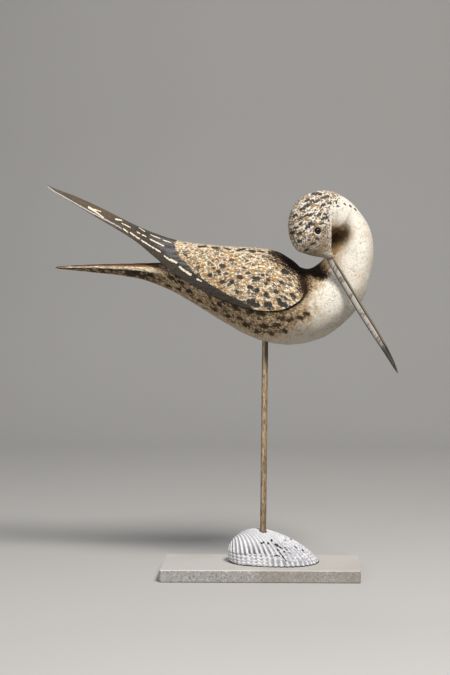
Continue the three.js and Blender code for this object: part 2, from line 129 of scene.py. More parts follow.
def slab_points():
    low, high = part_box("base_slab")
    half = np.array([(high.x - low.x) / 2, (high.y - low.y) / 2])
    radius = SLAB_CORNER_RADIUS
    edge = []
    for corner, sign in enumerate([(1, 1), (-1, 1), (-1, -1), (1, -1)]):
        for turn in np.linspace(0, math.pi / 2, 6):
            angle = corner * math.pi / 2 + turn
            edge.append(sign * (half - radius) + radius * np.array([math.cos(angle), math.sin(angle)]))
    edge.append(edge[0])
    outline = []
    for a, b in zip(edge[:-1], edge[1:]):
        pieces = max(1, round(float(np.linalg.norm(b - a)) / SLAB_STEP))
        outline += [a + (b - a) * i / pieces for i in range(pieces)]
    outline = np.array(outline)
    eased = SLAB_EASED_EDGE
    rise = [(eased * (1 - math.sin(t)), eased * (1 - math.cos(t))) for t in np.linspace(0, math.pi / 2, 5)]
    thickness = high.z - low.z
    profile = rise + [(0, z) for z in np.linspace(eased, thickness - eased, 8)[1:-1]]
    profile += [(inset, thickness - z) for inset, z in rise[::-1]]
    inner = [eased + SLAB_TOP_STEP * step for step in (0.4, 1, 2, 4, 7, 11)]
    innermost = half[1] * SLAB_TOP_INSET
    inner = [inset for inset in inner if inset < innermost] + [innermost]
    profile = [(inset, 0) for inset in inner[::-1]] + profile + [(inset, thickness) for inset in inner]
    rings = []
    for inset, z in profile:
        shrink = (half - inset) / half
        rings.append(np.column_stack([outline * shrink, np.full(len(outline), z)]))
    return np.array(rings)


def wear_edges(rings):
    """Takes small chips and a slight waviness off the eased edges, always inwards."""
    points = rings.reshape(-1, 3)
    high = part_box("base_slab")[1]
    near_top = soft_step(SLAB_WEAR_REACH, 0, high.z - points[:, 2])
    from_side = np.minimum(high.x - abs(points[:, 0]), high.y - abs(points[:, 1]))
    near_side = soft_step(SLAB_WEAR_REACH, 0, from_side)
    chip = np.clip(ripple(points, 7 * MM, 3) - 0.9, 0, 1)
    chip = chip + 0.12 * np.clip(1 + ripple(points, 2.5 * MM, 5), 0, 2)
    depth = SLAB_CHIP_DEPTH * chip * near_top * near_side
    points[:, 2] -= depth
    points[:, :2] *= 1 - depth[:, None] / np.array([high.x, high.y])
    return points.reshape(rings.shape)


def put(tree, socket, value):
    """Links a socket to another, or sets it to a number, a vector or a colour."""
    if isinstance(value, bpy.types.NodeSocket):
        tree.links.new(value, socket)
    elif hasattr(value, "__len__") and len(value) == 3 and len(socket.default_value) == 4:
        socket.default_value = (*value, 1)
    else:
        socket.default_value = value


def place(tree, kind, options=None, **inputs):
    """Adds a shader node, sets its options, and sets or links its inputs by their names."""
    node = tree.nodes.new("ShaderNode" + kind)
    for key, value in (options or {}).items():
        setattr(node, key, value)
    for name, value in inputs.items():
        put(tree, node.inputs[name.replace("_", " ")], value)
    return node


def reckon(tree, operation, *values, kind="Math"):
    """The result of a Math node, or with kind="VectorMath" of its like for vectors."""
    node = place(tree, kind, {"operation": operation})
    for socket, value in zip(node.inputs, values):
        put(tree, socket, value)
    return node.outputs[0]


def times(tree, *values):
    product = values[0]
    for value in values[1:]:
        product = reckon(tree, "MULTIPLY", product, value)
    return product


def laid(tree, below, above, *masks, how="MIX"):
    """One colour laid over another, as strongly as the product of the masks says."""
    node = place(tree, "Mix", {"data_type": "RGBA", "blend_type": how})
    for i, value in zip((0, 6, 7), (times(tree, *masks), below, above)):
        put(tree, node.inputs[i], value)
    return node.outputs[2]


def between(tree, value, low, high):
    """Carries a value to 0 at low and 1 at high."""
    options = {"interpolation_type": "SMOOTHSTEP"}
    return place(tree, "MapRange", options, Value=value, From_Min=low, From_Max=high).outputs[0]


def surface_place(tree):
    return place(tree, "TexCoord").outputs["Object"]


def noise(tree, vector, scale, detail=3.0, roughness=0.5):
    node = place(tree, "TexNoise", None, Vector=vector, Scale=scale, Detail=detail, Roughness=roughness)
    return node.outputs[0]


def bump(tree, height, distance, strength):
    return place(tree, "Bump", None, Height=height, Distance=distance, Strength=strength).outputs["Normal"]


def shader_group(name, inputs, outputs):
    """A new node group and what comes into it: vectors by two names, and numbers by any other name."""
    tree = bpy.data.node_groups.new(name, "ShaderNodeTree")
    for socket in inputs:
        kind = "NodeSocketVector" if socket in ("Vector", "Stretch") else "NodeSocketFloat"
        tree.interface.new_socket(socket, in_out="INPUT", socket_type=kind)
    for socket in outputs:
        tree.interface.new_socket(socket, in_out="OUTPUT", socket_type="NodeSocketFloat")
    return tree, tree.nodes.new("NodeGroupInput").outputs


def give_out(tree, **values):
    """Leads values to a group's outputs, by their names."""
    outs = tree.nodes.new("NodeGroupOutput")
    for name, value in values.items():
        tree.links.new(value, outs.inputs[name.replace("_", " ")])
    return tree


def grouped(tree, group, **inputs):
    return place(tree, "Group", {"node_tree": group}, **inputs).outputs


def speckle_group():
    """Small irregular specks: a mask of specks, and a slow drift for cloudy changes of tone."""
    tree, given = shader_group("Specks and clouds", ("Vector", "Speck Scale", "Speck Share", "Cloud Scale"),
                               ("Specks", "Clouds", "Fine"))
    grain = noise(tree, given["Vector"], given["Speck Scale"], 2.0, 0.6)
    edge = reckon(tree, "SUBTRACT", 1.0, given["Speck Share"])
    specks = times(tree, reckon(tree, "SUBTRACT", grain, edge), SPECK_SHARPNESS)
    specks = place(tree, "Clamp", None, Value=specks).outputs[0]
    clouds = noise(tree, given["Vector"], given["Cloud Scale"], 4.0, 0.55)
    return give_out(tree, Specks=specks, Clouds=clouds, Fine=grain)


specks_and_clouds = speckle_group()


def speckled(tree, vector, speck_scale, speck_share, cloud_scale):
    return grouped(tree, specks_and_clouds, Vector=vector, Speck_Scale=speck_scale, Speck_Share=speck_share,
                   Cloud_Scale=cloud_scale)


def new_finish(name):
    """A new material and its tree."""
    material = bpy.data.materials.new(name)
    material.use_nodes = True
    return material, material.node_tree


def finished(material, **looks):
    """The material, once its shader's sockets are set or linked by their names."""
    shader = material.node_tree.nodes["Principled BSDF"]
    for name, value in looks.items():
        put(material.node_tree, shader.inputs[name.replace("_", " ")], value)
    return material


def stone():
    material, tree = new_finish("Honed pale stone")
    vector = surface_place(tree)
    fine = speckled(tree, vector, 560.0, 0.47, 30.0)
    broad = speckled(tree, vector, 330.0, 0.44, 13.0)
    facing = place(tree, "NewGeometry").outputs["Normal"]
    upward = place(tree, "SeparateXYZ", None, Vector=facing).outputs["Z"]
    on_top = between(tree, upward, 0.55, 0.95)
    front = laid(tree, STONE_FRONT, STONE_SPECK_AND_FOOT_SHADE, fine["Specks"], 0.75)
    front = laid(tree, front, STONE_LIGHT, broad["Specks"], 0.6)
    top = laid(tree, STONE_TOP, STONE_SPECK_AND_FOOT_SHADE, fine["Specks"], 0.1)
    colour = laid(tree, front, top, on_top)
    # The eased upper edges are painted lighter: a painted highlight where they face up.
    on_edge = times(tree, between(tree, upward, 0.12, 0.4), between(tree, upward, 0.99, 0.8))
    colour = laid(tree, colour, STONE_EDGE_HIGHLIGHT, on_edge, 0.8)
    clouds = times(tree, between(tree, broad["Clouds"], 0.48, 0.66), 0.42)
    colour = laid(tree, colour, STONE_STAIN, clouds, between(tree, on_top, 1.6, 0.0))
    up = place(tree, "SeparateXYZ", None, Vector=vector).outputs["Z"]
    # The lowest millimetre of the sides is painted dark: painted shade where the slab meets the floor.
    colour = laid(tree, colour, STONE_SPECK_AND_FOOT_SHADE, between(tree, up, 1.1 * MM, 0.5 * MM), 0.75)
    return finished(material, Base_Color=colour,
                    Roughness=reckon(tree, "MULTIPLY_ADD", fine["Fine"], 0.25, 0.42),
                    Normal=bump(tree, fine["Fine"], 0.25 * MM, 0.35))


slab_rings = wear_edges(slab_points())
slab = make_piece("slab", *closed_skin(slab_rings), "slab_stone", "base_slab")
slab.data.materials.append(stone())
slab_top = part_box("base_slab")[1].z


# Leg
# A straight thin stick of bare tan wood, rubbed with stain. It leans a little to the right, stands in
# the slab, passes through a rough hole in the shell and is glued into the bird's belly.

LEG_FOOT = Vector((2.1 * MM, 0, slab_top))
LEG_LEAN = math.radians(0.6)
LEG_ABOVE_SLAB = 226 * MM
LEG_IN_SLAB = 8 * MM
LEG_IN_BODY = 22 * MM
LEG_RADIUS = 3.17 * MM
LEG_UNEVEN = 0.1 * MM
LEG_TAN = (0.45, 0.315, 0.19)
LEG_SHADED_OLIVE = (0.22, 0.15, 0.065)
LEG_RED = (0.1, 0.045, 0.022)
LEG_PALE = (0.6, 0.455, 0.295)
LEG_DARK = (0.12, 0.075, 0.038)
LEG_PAINTED_SHADE = (0.04, 0.024, 0.012)
LEG_AROUND = 40
LEG_RINGS = 260
# Glue and stain in the shell's hole, up from the slab; the darker foot; the painted shade below the belly
LUMP_RISE = 0.75 * MM
LUMPS_UP = (30.5 * MM, 35 * MM)
DARK_FOOT_UP = (38 * MM, 85 * MM)
SHADE_UNDER_BELLY_DOWN = (12 * MM, 29 * MM)

leg_axis = Vector((math.sin(LEG_LEAN), 0, math.cos(LEG_LEAN)))
leg_top = LEG_FOOT + LEG_ABOVE_SLAB * leg_axis


def leg_rings():
    ups = np.linspace(-LEG_IN_SLAB, LEG_ABOVE_SLAB + LEG_IN_BODY, LEG_RINGS)
    turns = np.linspace(0, 2 * math.pi, LEG_AROUND, endpoint=False)
    middle = (np.array(LEG_FOOT) + ups[:, None] * np.array(leg_axis))[:, None]
    rings = middle + LEG_RADIUS * np.stack([np.cos(turns), np.sin(turns), 0 * turns], -1)
    points = rings.reshape(-1, 3)
    uneven = ripple(points * (1, 1, 0.12), 3 * MM, 11) + 0.6 * ripple(points * (1, 1, 0.5), 5 * MM, 12)
    scale = 1 - LEG_UNEVEN / LEG_RADIUS * (0.5 + 0.5 * np.clip(uneven, -1, 1))
    up = np.repeat(ups, LEG_AROUND)
    low, high = LUMPS_UP
    glue = soft_step(low - 2 * MM, low, up) * soft_step(high, high - 3 * MM, up)
    scale = scale + glue * LUMP_RISE / LEG_RADIUS * np.clip(0.5 + ripple(points, 3.5 * MM, 13), 0, 1.4)
    return middle + (rings - middle) * scale.reshape(LEG_RINGS, LEG_AROUND, 1)


def fibre_group():
    """Wood fibres that run along one axis: a tone from 0 to 1, dark pores, and a height."""
    tree, given = shader_group("Wood fibres", ("Vector", "Scale", "Stretch"), ("Tone", "Pores", "Height"))
    vector = reckon(tree, "MULTIPLY", given["Vector"], given["Stretch"], kind="VectorMath")
    tone = noise(tree, vector, given["Scale"], 4.0, 0.6)
    fine = noise(tree, vector, times(tree, given["Scale"], 4.0), 3.0, 0.7)
    height = reckon(tree, "MULTIPLY_ADD", fine, 0.4, tone)
    return give_out(tree, Tone=tone, Pores=between(tree, fine, 0.6, 0.72), Height=height)


wood_fibres = fibre_group()


def leg_wood():
    material, tree = new_finish("Bare stick wood")
    vector = surface_place(tree)
    lengthwise = reckon(tree, "MULTIPLY", vector, (1.0, 1.0, 0.22), kind="VectorMath")
    fibres = grouped(tree, wood_fibres, Vector=vector, Scale=420.0, Stretch=(1.0, 1.0, 0.07))
    patches = speckled(tree, lengthwise, 700.0, 0.4, 230.0)
    spot = place(tree, "SeparateXYZ", None, Vector=vector).outputs
    up = spot["Z"]
    lean = leg_axis[0] / leg_axis[2]
    beside = reckon(tree, "MULTIPLY_ADD", up, -lean, spot["X"])
    middle = LEG_FOOT.x - lean * LEG_FOOT.z
    at_right = between(tree, beside, middle - 0.4 * MM, middle + 1.8 * MM)
    colour = laid(tree, LEG_TAN, LEG_PALE, between(tree, fibres["Tone"], 0.3, 0.7))
    # The right side is painted olive and darker: painted shade.
    colour = laid(tree, colour, LEG_SHADED_OLIVE, at_right, 0.7)
    colour = laid(tree, colour, LEG_DARK, between(tree, patches["Clouds"], 0.5, 0.66), 0.6)
    colour = laid(tree, colour, LEG_DARK, between(tree, patches["Fine"], 0.49, 0.54), 0.55)
    near_foot = between(tree, up, LEG_FOOT.z + DARK_FOOT_UP[1], LEG_FOOT.z + DARK_FOOT_UP[0])
    colour = laid(tree, colour, LEG_DARK, near_foot, 0.3)
    colour = laid(tree, colour, LEG_RED, patches["Specks"], 0.85)
    colour = laid(tree, colour, LEG_DARK, fibres["Pores"], 0.6)
    # A dark strip down the left edge: painted shade.
    at_left = between(tree, beside, middle - 1.9 * MM, middle - 3 * MM)
    colour = laid(tree, colour, LEG_PAINTED_SHADE, at_left, 0.6)
    at_hole = between(tree, up, LUMPS_UP[1] + LEG_FOOT.z, LUMPS_UP[0] + LEG_FOOT.z)
    colour = laid(tree, colour, LEG_DARK, at_hole, 0.7)
    # Darker just under the belly, on the right part: painted shade under the bird.
    at_belly = between(tree, up, leg_top.z - SHADE_UNDER_BELLY_DOWN[1], leg_top.z - SHADE_UNDER_BELLY_DOWN[0])
    right_part = between(tree, beside, middle - 1.2 * MM, middle + 0.2 * MM)
    colour = laid(tree, colour, LEG_PAINTED_SHADE, at_belly, right_part, 0.8)
    return finished(material, Base_Color=colour,
                    Roughness=reckon(tree, "MULTIPLY_ADD", fibres["Tone"], 0.3, 0.5),
                    Normal=bump(tree, fibres["Height"], 0.3 * MM, 0.6))


leg = make_piece("leg", *closed_skin(leg_rings()), "leg_wood", "leg_dowel")
leg.data.materials.append(leg_wood())


# Shell
# Half of a thick ribbed sea shell, painted white. It lies hollow side down on the slab, glued at its rim,
# with its beak at the back on the left. Worms have bored small pits in it, and the leg's hole is rough.

SHELL_LENGTH = 94.5 * MM
SHELL_DEPTH = 63 * MM
SHELL_HEIGHT = 33.5 * MM
SHELL_WALL = 2.8 * MM
RIB_COUNT = 44
RIB_HEIGHT = 0.7 * MM
RIB_NARROWNESS = 1.1
RIB_SAMPLES = 14
SHELL_ROWS = 92
RIM_FULLNESS = 2.25
SHELL_WIDEST = (0.624, 0.54)
SHELL_SUMMIT = 0.328
SHELL_LEG = (0.394, 0.44)
SHELL_BEAK = (0.06, 0.78)
GROWTH_LINE_UP = 12.1 * MM
GROWTH_STEP = -0.7 * MM
BEAD_PITCH = 3.1 * MM
BEAD_HEIGHT = 0.4 * MM
RIM_GAP = 0.9 * MM
SHELL_OVER_SLAB = 0.1 * MM
SHELL_INNER_ROWS = 20
# The foot of the left end tucks in by this much
LEFT_TUCK = 1.6 * MM
# The leg's hole is cut over these heights from the slab, wider than the leg by between these widths
HOLE_UPS = (0.004, 0.014, 0.024, 0.034, 0.05)
HOLE_SPARE = (0.55, 1.25)
PIT_DEPTH = 0.9 * MM
SHELL_WHITE = (0.83, 0.83, 0.845)
SHELL_GREY_AND_GROOVE_SHADE = (0.33, 0.325, 0.37)
SHELL_SHADE = (0.1, 0.1, 0.12)
SHELL_DIRT = (0.3, 0.25, 0.19)
PIT_AND_RIM_SHADE_BLACK = (0.012, 0.011, 0.012)
# Pits and cracks on the front, [along, up] in mm from the leg's foot: where each starts and ends, half width
PITS = [
    ((-1.6, 22.8), (1.2, 23.6), 0.9), ((5.4, 22.8), (6.6, 22.6), 0.8), ((8.6, 25.3), (9.6, 24.8), 0.8),
    ((12.8, 21.8), (15.6, 20.2), 0.9), ((17.2, 19.2), (20.4, 18.0), 0.7),
    ((15.2, 16.8), (17.0, 16.4), 0.6), ((21.2, 15.2), (23.0, 14.8), 0.7),
    ((17.4, 14.6), (20.6, 10.8), 0.5), ((20.6, 10.8), (24.6, 6.4), 0.7),
    ((12.0, 10.6), (13.8, 12.0), 0.5), ((13.8, 12.0), (17.6, 10.8), 0.5),
    ((16.3, 30.2), (17.4, 29.8), 0.7), ((23.6, 26.8), (25.0, 25.9), 0.75),
    ((23.0, 24.3), (23.6, 24.0), 0.5), ((28.6, 23.9), (30.0, 23.1), 0.8),
    ((32.6, 18.6), (35.0, 17.0), 0.5), ((40.8, 14.3), (41.6, 13.6), 0.75),
    ((24.2, 17.0), (25.4, 16.2), 0.4), ((27.0, 13.8), (28.6, 13.2), 0.4),
    ((22.4, 18.6), (23.6, 18.2), 0.5), ((3.0, 11.4), (4.6, 11.9), 0.45),
]


def rim_reach(from_widest, inset):
    along, deep = SHELL_WIDEST
    x = np.where(from_widest[..., 0] < 0, along, 1 - along) * SHELL_LENGTH - inset
    y = np.where(from_widest[..., 1] < 0, deep, 1 - deep) * SHELL_DEPTH - inset
    return np.stack([x, y], -1)


def rim_points(turns, inset):
    heading = np.stack([np.cos(turns), np.sin(turns)], -1)
    heading = np.sign(heading) * abs(heading) ** (2 / RIM_FULLNESS)
    return np.array(SHELL_WIDEST) * (SHELL_LENGTH, SHELL_DEPTH) + heading * rim_reach(heading, inset)


def even_turns(count):
    """Turns that part the rim into stretches of equal length."""
    fine = np.linspace(0, 2 * math.pi, 1441)
    steps = np.linalg.norm(np.diff(rim_points(fine, 0), axis=0), axis=1)
    lengths = np.concatenate([[0], np.cumsum(steps)])
    return np.interp(np.arange(count) / count * lengths[-1], lengths, fine)


def oval(share, fullness):
    return np.clip(1 - np.minimum(share, 1) ** fullness, 0, 1) ** (1 / fullness)


def shell_height(places, inset):
    """How high the dome stands over places on the slab: round at the left, a long slope to the right."""
    summit = SHELL_SUMMIT * SHELL_LENGTH
    left = np.clip((summit - places[..., 0]) / (summit - inset), 0, None)
    right = np.clip((places[..., 0] - summit) / (SHELL_LENGTH - inset - summit), 0, 1)
    crest = np.where(places[..., 0] < summit, oval(left, 2.3), (1 - right ** 1.7) ** 0.85)
    from_widest = places - np.array(SHELL_WIDEST) * (SHELL_LENGTH, SHELL_DEPTH)
    reach = rim_reach(from_widest, inset)
    half_depth = reach[..., 1] * oval(abs(from_widest[..., 0]) / reach[..., 0], RIM_FULLNESS)
    across = oval(abs(from_widest[..., 1]) / np.maximum(half_depth, 0.3 * MM), 2)
    return (SHELL_HEIGHT - inset) * crest * across


def shell_skin(rows, around, inset):
    """Rings from the beak out to the rim, without relief, and how far out each ring lies."""
    beak = np.array(SHELL_BEAK) * (SHELL_LENGTH, SHELL_DEPTH)
    widest = np.array(SHELL_WIDEST) * (SHELL_LENGTH, SHELL_DEPTH)
    beak = beak + (widest - beak) * inset / np.linalg.norm(widest - beak)
    rim = rim_points(even_turns(around), inset)
    out = np.sin(math.pi / 2 * np.arange(1, rows + 1) / rows) ** 0.8
    places = beak + (rim[None] - beak) * out[:, None, None]
    height = shell_height(places, inset)
    height[-1] = 0
    return np.concatenate([places, height[..., None]], -1), out


def outward_normals(rings):
    along = np.gradient(rings, axis=0)
    round_about = (np.roll(rings, -1, axis=1) - np.roll(rings, 1, axis=1)) / 2
    normals = np.cross(along, round_about)
    length = np.linalg.norm(normals, axis=-1, keepdims=True)
    normals = normals / np.maximum(length, 1e-12)
    return -normals if normals[len(rings) // 2, 0, 0] < 0 else normals


def ribbed_skin():
    """The outer skin with ribs, growth line, beads and scalloped rim, and where the crests are."""
    around = RIB_COUNT * RIB_SAMPLES
    rings, out = shell_skin(SHELL_ROWS, around, 0)
    flat = rings.reshape(-1, 3)
    phase = np.arange(around) * (2 * math.pi / RIB_SAMPLES)
    rib = np.broadcast_to(2 * ((1 + np.cos(phase)) / 2) ** RIB_NARROWNESS - 1, rings.shape[:2])
    up = rings[..., 2]
    x = rings[..., 0] - SHELL_LEG[0] * SHELL_LENGTH
    front_left = soft_step(14 * MM, -2 * MM, x)
    line = GROWTH_LINE_UP + 0.6 * MM * ripple(flat, 30 * MM, 22).reshape(up.shape)
    below = soft_step(line + 0.5 * MM, line - 0.5 * MM, up) * front_left
    uneven = ripple(flat, 6 * MM, 24).reshape(up.shape)
    outwards = (1 - out)[:, None] * SHELL_LENGTH
    low_beads = np.cos(2 * math.pi * up / BEAD_PITCH + 0.7 * uneven)
    right_beads = np.cos(2 * math.pi * outwards / BEAD_PITCH + 0.9 * uneven)
    on_crest = soft_step(-0.6, 0.4, rib)
    right_share = (1 - front_left) * soft_step(0.2, 0.55, out)[:, None]
    beads = low_beads * below + 0.6 * right_beads * right_share
    relief = RIB_HEIGHT * out[:, None] ** 0.8 * rib * (1 - 0.6 * below)
    relief = relief + BEAD_HEIGHT * beads * on_crest + GROWTH_STEP * below
    relief = relief + 0.12 * MM * ripple(flat, 2.2 * MM, 23).reshape(up.shape)
    relief = relief - LEFT_TUCK * soft_step(9 * MM, 0, up) * soft_step(-24 * MM, -34 * MM, x)
    points = rings + outward_normals(rings) * relief[..., None]
    at_right = soft_step(0, 35 * MM, x[-1])
    points[-1, :, 2] = RIM_GAP * at_right * soft_step(-0.1, -0.9, rib[-1])
    points[..., 2] = np.maximum(points[..., 2], points[-1:, :, 2])
    crest = rib * (1 - 0.4 * right_share - 0.6 * below)
    crest = crest + beads * (0.75 * below + 0.7 * right_share) + 0.35 * below
    return points, np.clip(0.5 + 0.5 * crest, 0, 1)


def shell_rings(outer):
    inner = shell_skin(SHELL_INNER_ROWS, outer.shape[1], SHELL_WALL)[0]
    rim = outer[-1:].copy()
    lip = inner[-1:].copy()
    lip[..., 2] = rim[..., 2]
    return np.concatenate([outer, (rim + lip) / 2, lip, inner[::-1]])


def on_leg_foot(rings):
    """Carries the shell from its own corner to where the leg passes through it, just clear of the slab."""
    leg_place = np.array(SHELL_LEG) * (SHELL_LENGTH, SHELL_DEPTH)
    return rings - (*leg_place, 0) + np.array(LEG_FOOT) + (0, 0, SHELL_OVER_SLAB)


def distance_to_stroke(points, start, end):
    """How far points of a plane lie from a straight stroke."""
    start = np.array(start, float)
    line = np.array(end, float) - start
    share = np.clip(((points - start) @ line) / max(float(line @ line), 1e-12), 0, 1)
    return np.linalg.norm(points - start - share[:, None] * line, axis=1)


def mark(piece, name, values):
    """Stores a value at every point of a piece, for its material to read."""
    attribute = piece.data.attributes.new(name, "FLOAT", "POINT")
    attribute.data.foreach_set("value", np.asarray(values, np.float32))


def read_points(piece, what="co"):
    """What Blender keeps at each point of a piece: its place, or with "normal" the way it faces."""
    flat = np.empty(len(piece.data.vertices) * 3)
    piece.data.vertices.foreach_get(what, flat)
    return flat.reshape(-1, 3)


def set_points(piece, points):
    piece.data.vertices.foreach_set("co", np.asarray(points, np.float32).ravel())
    piece.data.update()


def keep_result(piece):
    """Turns what a piece's modifiers make into its own mesh."""
    depsgraph = bpy.context.evaluated_depsgraph_get()
    made = bpy.data.meshes.new_from_object(piece.evaluated_get(depsgraph), depsgraph=depsgraph)
    piece.modifiers.clear()
    old = piece.data
    piece.data = made
    bpy.data.meshes.remove(old)
    piece.data.shade_smooth()


def apply_modifier(piece, kind, **settings):
    modifier = piece.modifiers.new(kind.lower(), kind)
    for key, value in settings.items():
        setattr(modifier, key, value)
    keep_result(piece)


def bore_leg_hole(piece):
    """Cuts the ragged hole that the leg passes through."""
    rng = np.random.default_rng(31)
    around = 28
    turns = np.linspace(0, 2 * math.pi, around, endpoint=False)
    rings = []
    for up in HOLE_UPS:
        radius = LEG_RADIUS + rng.uniform(*HOLE_SPARE, around) * MM
        middle = LEG_FOOT + up * leg_axis
        rings.append(np.column_stack([middle.x + radius * np.cos(turns), middle.y + radius * np.sin(turns),
                                      np.full(around, middle.z)]))
    points, faces = closed_skin(np.array(rings))
    cutter = make_piece("leg_hole_cutter", points, faces, "", "")
    apply_modifier(piece, "BOOLEAN", operation="DIFFERENCE", solver="EXACT", object=cutter)
    bpy.data.objects.remove(cutter)


def sink_pits(piece):
    """Sinks the pits into the shell's front and marks them."""
    points = read_points(piece)
    local = (points - np.array(LEG_FOOT)) / MM
    deep = np.zeros(len(points))
    for start, end, half in PITS:
        gap = distance_to_stroke(local[:, [0, 2]], start, end) / half
        deep = np.maximum(deep, 1.5 - gap)
    facing = read_points(piece, "normal")
    outer = (facing[:, 1] < 0.6) & (facing[:, 2] > -0.2) & (local[:, 1] < 25)
    deep = np.where(outer, np.clip(deep, 0, 1.5), 0)
    ragged_edge = deep + 0.35 * ripple(points, 1.3 * MM, 33) * (deep > 0)
    set_points(piece, points - facing * (PIT_DEPTH * soft_step(0.4, 1.3, ragged_edge))[:, None])
    mark(piece, "pit", ragged_edge)


def mark_ribs(piece, outer, crest):
    """Marks the crests of the ribs, the shaded part over the growth line, and the painted shade in the gaps
    under the rim and along its foot.
    """
    up = outer[..., 2] - LEG_FOOT.z
    x = outer[..., 0] - LEG_FOOT.x
    over_line = soft_step(9 * MM, 12 * MM, up) * soft_step(23 * MM, 12 * MM, up)
    # Painted shade: black in the gaps under the lifted rim at the right, and a dark line all along the foot
    # where the shell sits on the slab.
    gaps = soft_step(1.7 * MM, 0.5 * MM, up) * soft_step(6 * MM, 32 * MM, x) * (1 - crest)
    values = {
        "crest": crest,
        "shade": over_line * soft_step(-26 * MM, -12 * MM, x) * soft_step(14 * MM, -1 * MM, x),
        "rim_shade": np.maximum(gaps, soft_step(2.1 * MM, 0.9 * MM, up) * 0.6),
        "right": soft_step(2 * MM, 26 * MM, x),
        "low_down": soft_step(27 * MM, 15 * MM, up),
    }
    tree = BVHTree.FromPolygons(outer.reshape(-1, 3).tolist(), ring_faces(*outer.shape[:2]))
    around = outer.shape[1]
    faces = np.array([tree.find_nearest(vertex.co)[2] for vertex in piece.data.vertices])
    rows, sides = np.divmod(faces, around)
    for name, table in values.items():
        mark(piece, name, table[rows, sides])


def field(tree, name, kind="Fac"):
    return place(tree, "Attribute", {"attribute_name": name}).outputs[kind]


def ragged(tree, name, rough, amount):
    """A piece's marks of one name, made uneven by a noise."""
    return reckon(tree, "MULTIPLY_ADD", reckon(tree, "SUBTRACT", rough, 0.5), amount, field(tree, name))


def shell_paint():
    material, tree = new_finish("White paint on shell")
    vector = surface_place(tree)
    fine = speckled(tree, vector, 700.0, 0.36, 110.0)
    broad = speckled(tree, vector, 330.0, 0.34, 60.0)
    # The grooves between the ribs are painted grey as painted shade, more strongly low down; the same grey
    # also lays real clouds, specks and mottles.
    groove = between(tree, ragged(tree, "crest", fine["Clouds"], 0.9), 0.62, 0.22)
    strong = reckon(tree, "MULTIPLY_ADD", field(tree, "low_down"), 0.4, 0.5)
    colour = laid(tree, SHELL_WHITE, SHELL_GREY_AND_GROOVE_SHADE, groove, strong)
    colour = laid(tree, colour, SHELL_SHADE, field(tree, "shade"), groove)
    colour = laid(tree, colour, SHELL_GREY_AND_GROOVE_SHADE, between(tree, broad["Clouds"], 0.5, 0.7), 0.3)
    colour = laid(tree, colour, SHELL_GREY_AND_GROOVE_SHADE, fine["Specks"], 0.35)
    colour = laid(tree, colour, SHELL_DIRT, broad["Specks"], 0.22)
    colour = laid(tree, colour, SHELL_GREY_AND_GROOVE_SHADE, field(tree, "right"), between(tree, broad["Fine"], 0.47, 0.6),
                  0.6)
    colour = laid(tree, colour, PIT_AND_RIM_SHADE_BLACK, between(tree, field(tree, "pit"), 0.45, 0.7))
    # Black under the rim and along the foot: painted shade.
    colour = laid(tree, colour, PIT_AND_RIM_SHADE_BLACK, between(tree, field(tree, "rim_shade"), 0.3, 0.55))
    return finished(material, Base_Color=colour,
                    Roughness=reckon(tree, "MULTIPLY_ADD", fine["Fine"], 0.3, 0.4),
                    Normal=bump(tree, fine["Fine"], 0.35 * MM, 0.5))


shell_outside, shell_crests = ribbed_skin()
shell_drawn = on_leg_foot(shell_rings(shell_outside))
shell = make_piece("shell", *closed_skin(shell_drawn), "painted_shell", "sea_shell")
bore_leg_hole(shell)
mark_ribs(shell, shell_drawn[:SHELL_ROWS], shell_crests)
sink_pits(shell)
shell.data.materials.append(shell_paint())


# Bird
# Carved from one piece of wood and then painted: body, folded wings, tail, and a neck that curls up and
# back over the near side to preen. The wings stand a little proud of the flanks. A rough hollow is carved
# between the cheek and the neck, and the bird is glued on the top of the leg.

BIRD_LENGTH = 333
DRAWN_LENGTH = 332.5
HALF_BODY = 35
WING_RELIEF = 2.4
WING_FAIRING = 6
HOLLOW_PLACE = (75, -0.53 * HALF_BODY, 107.5)
HOLLOW_HALF = (8.5, 13, 13.5)
HOLLOW_TILT = math.radians(18)
HOLLOW_ROWS = 40
HOLLOW_AROUND = 64
CARVING_VOXEL = 1.12
CARVING_AROUND = 168
WING_FACE_POINTS = 56
END_DOME = 6
THINNEST_IN_VOXELS = 2.8
CREASE_FILLET = 2.2
CHEEK_FILLET = 0.6
NECK_FILLET = 15.0
KNIFE_WAVES = 0.16
KNIFE_WAVE_SPAN = 16
KNIFE_WAVES_IN = 1.6
EYE_RADIUS = 3.1
EYE_SUNK = 1.1
EYE_LID_REACH = 3.7
EYE_LID_HALF = 0.65
EYE_LID_RISE = 0.4
FAR_FROM_EYE = 20
EYE_AREA_DEPTH = 6
# A point this close to a form's skin, in mm, lies on it
ON_SKIN = 0.02
EYE_PLACES = {"eye_near": (0.4625, 1.27), "eye_far": (0.56, 3.9)}
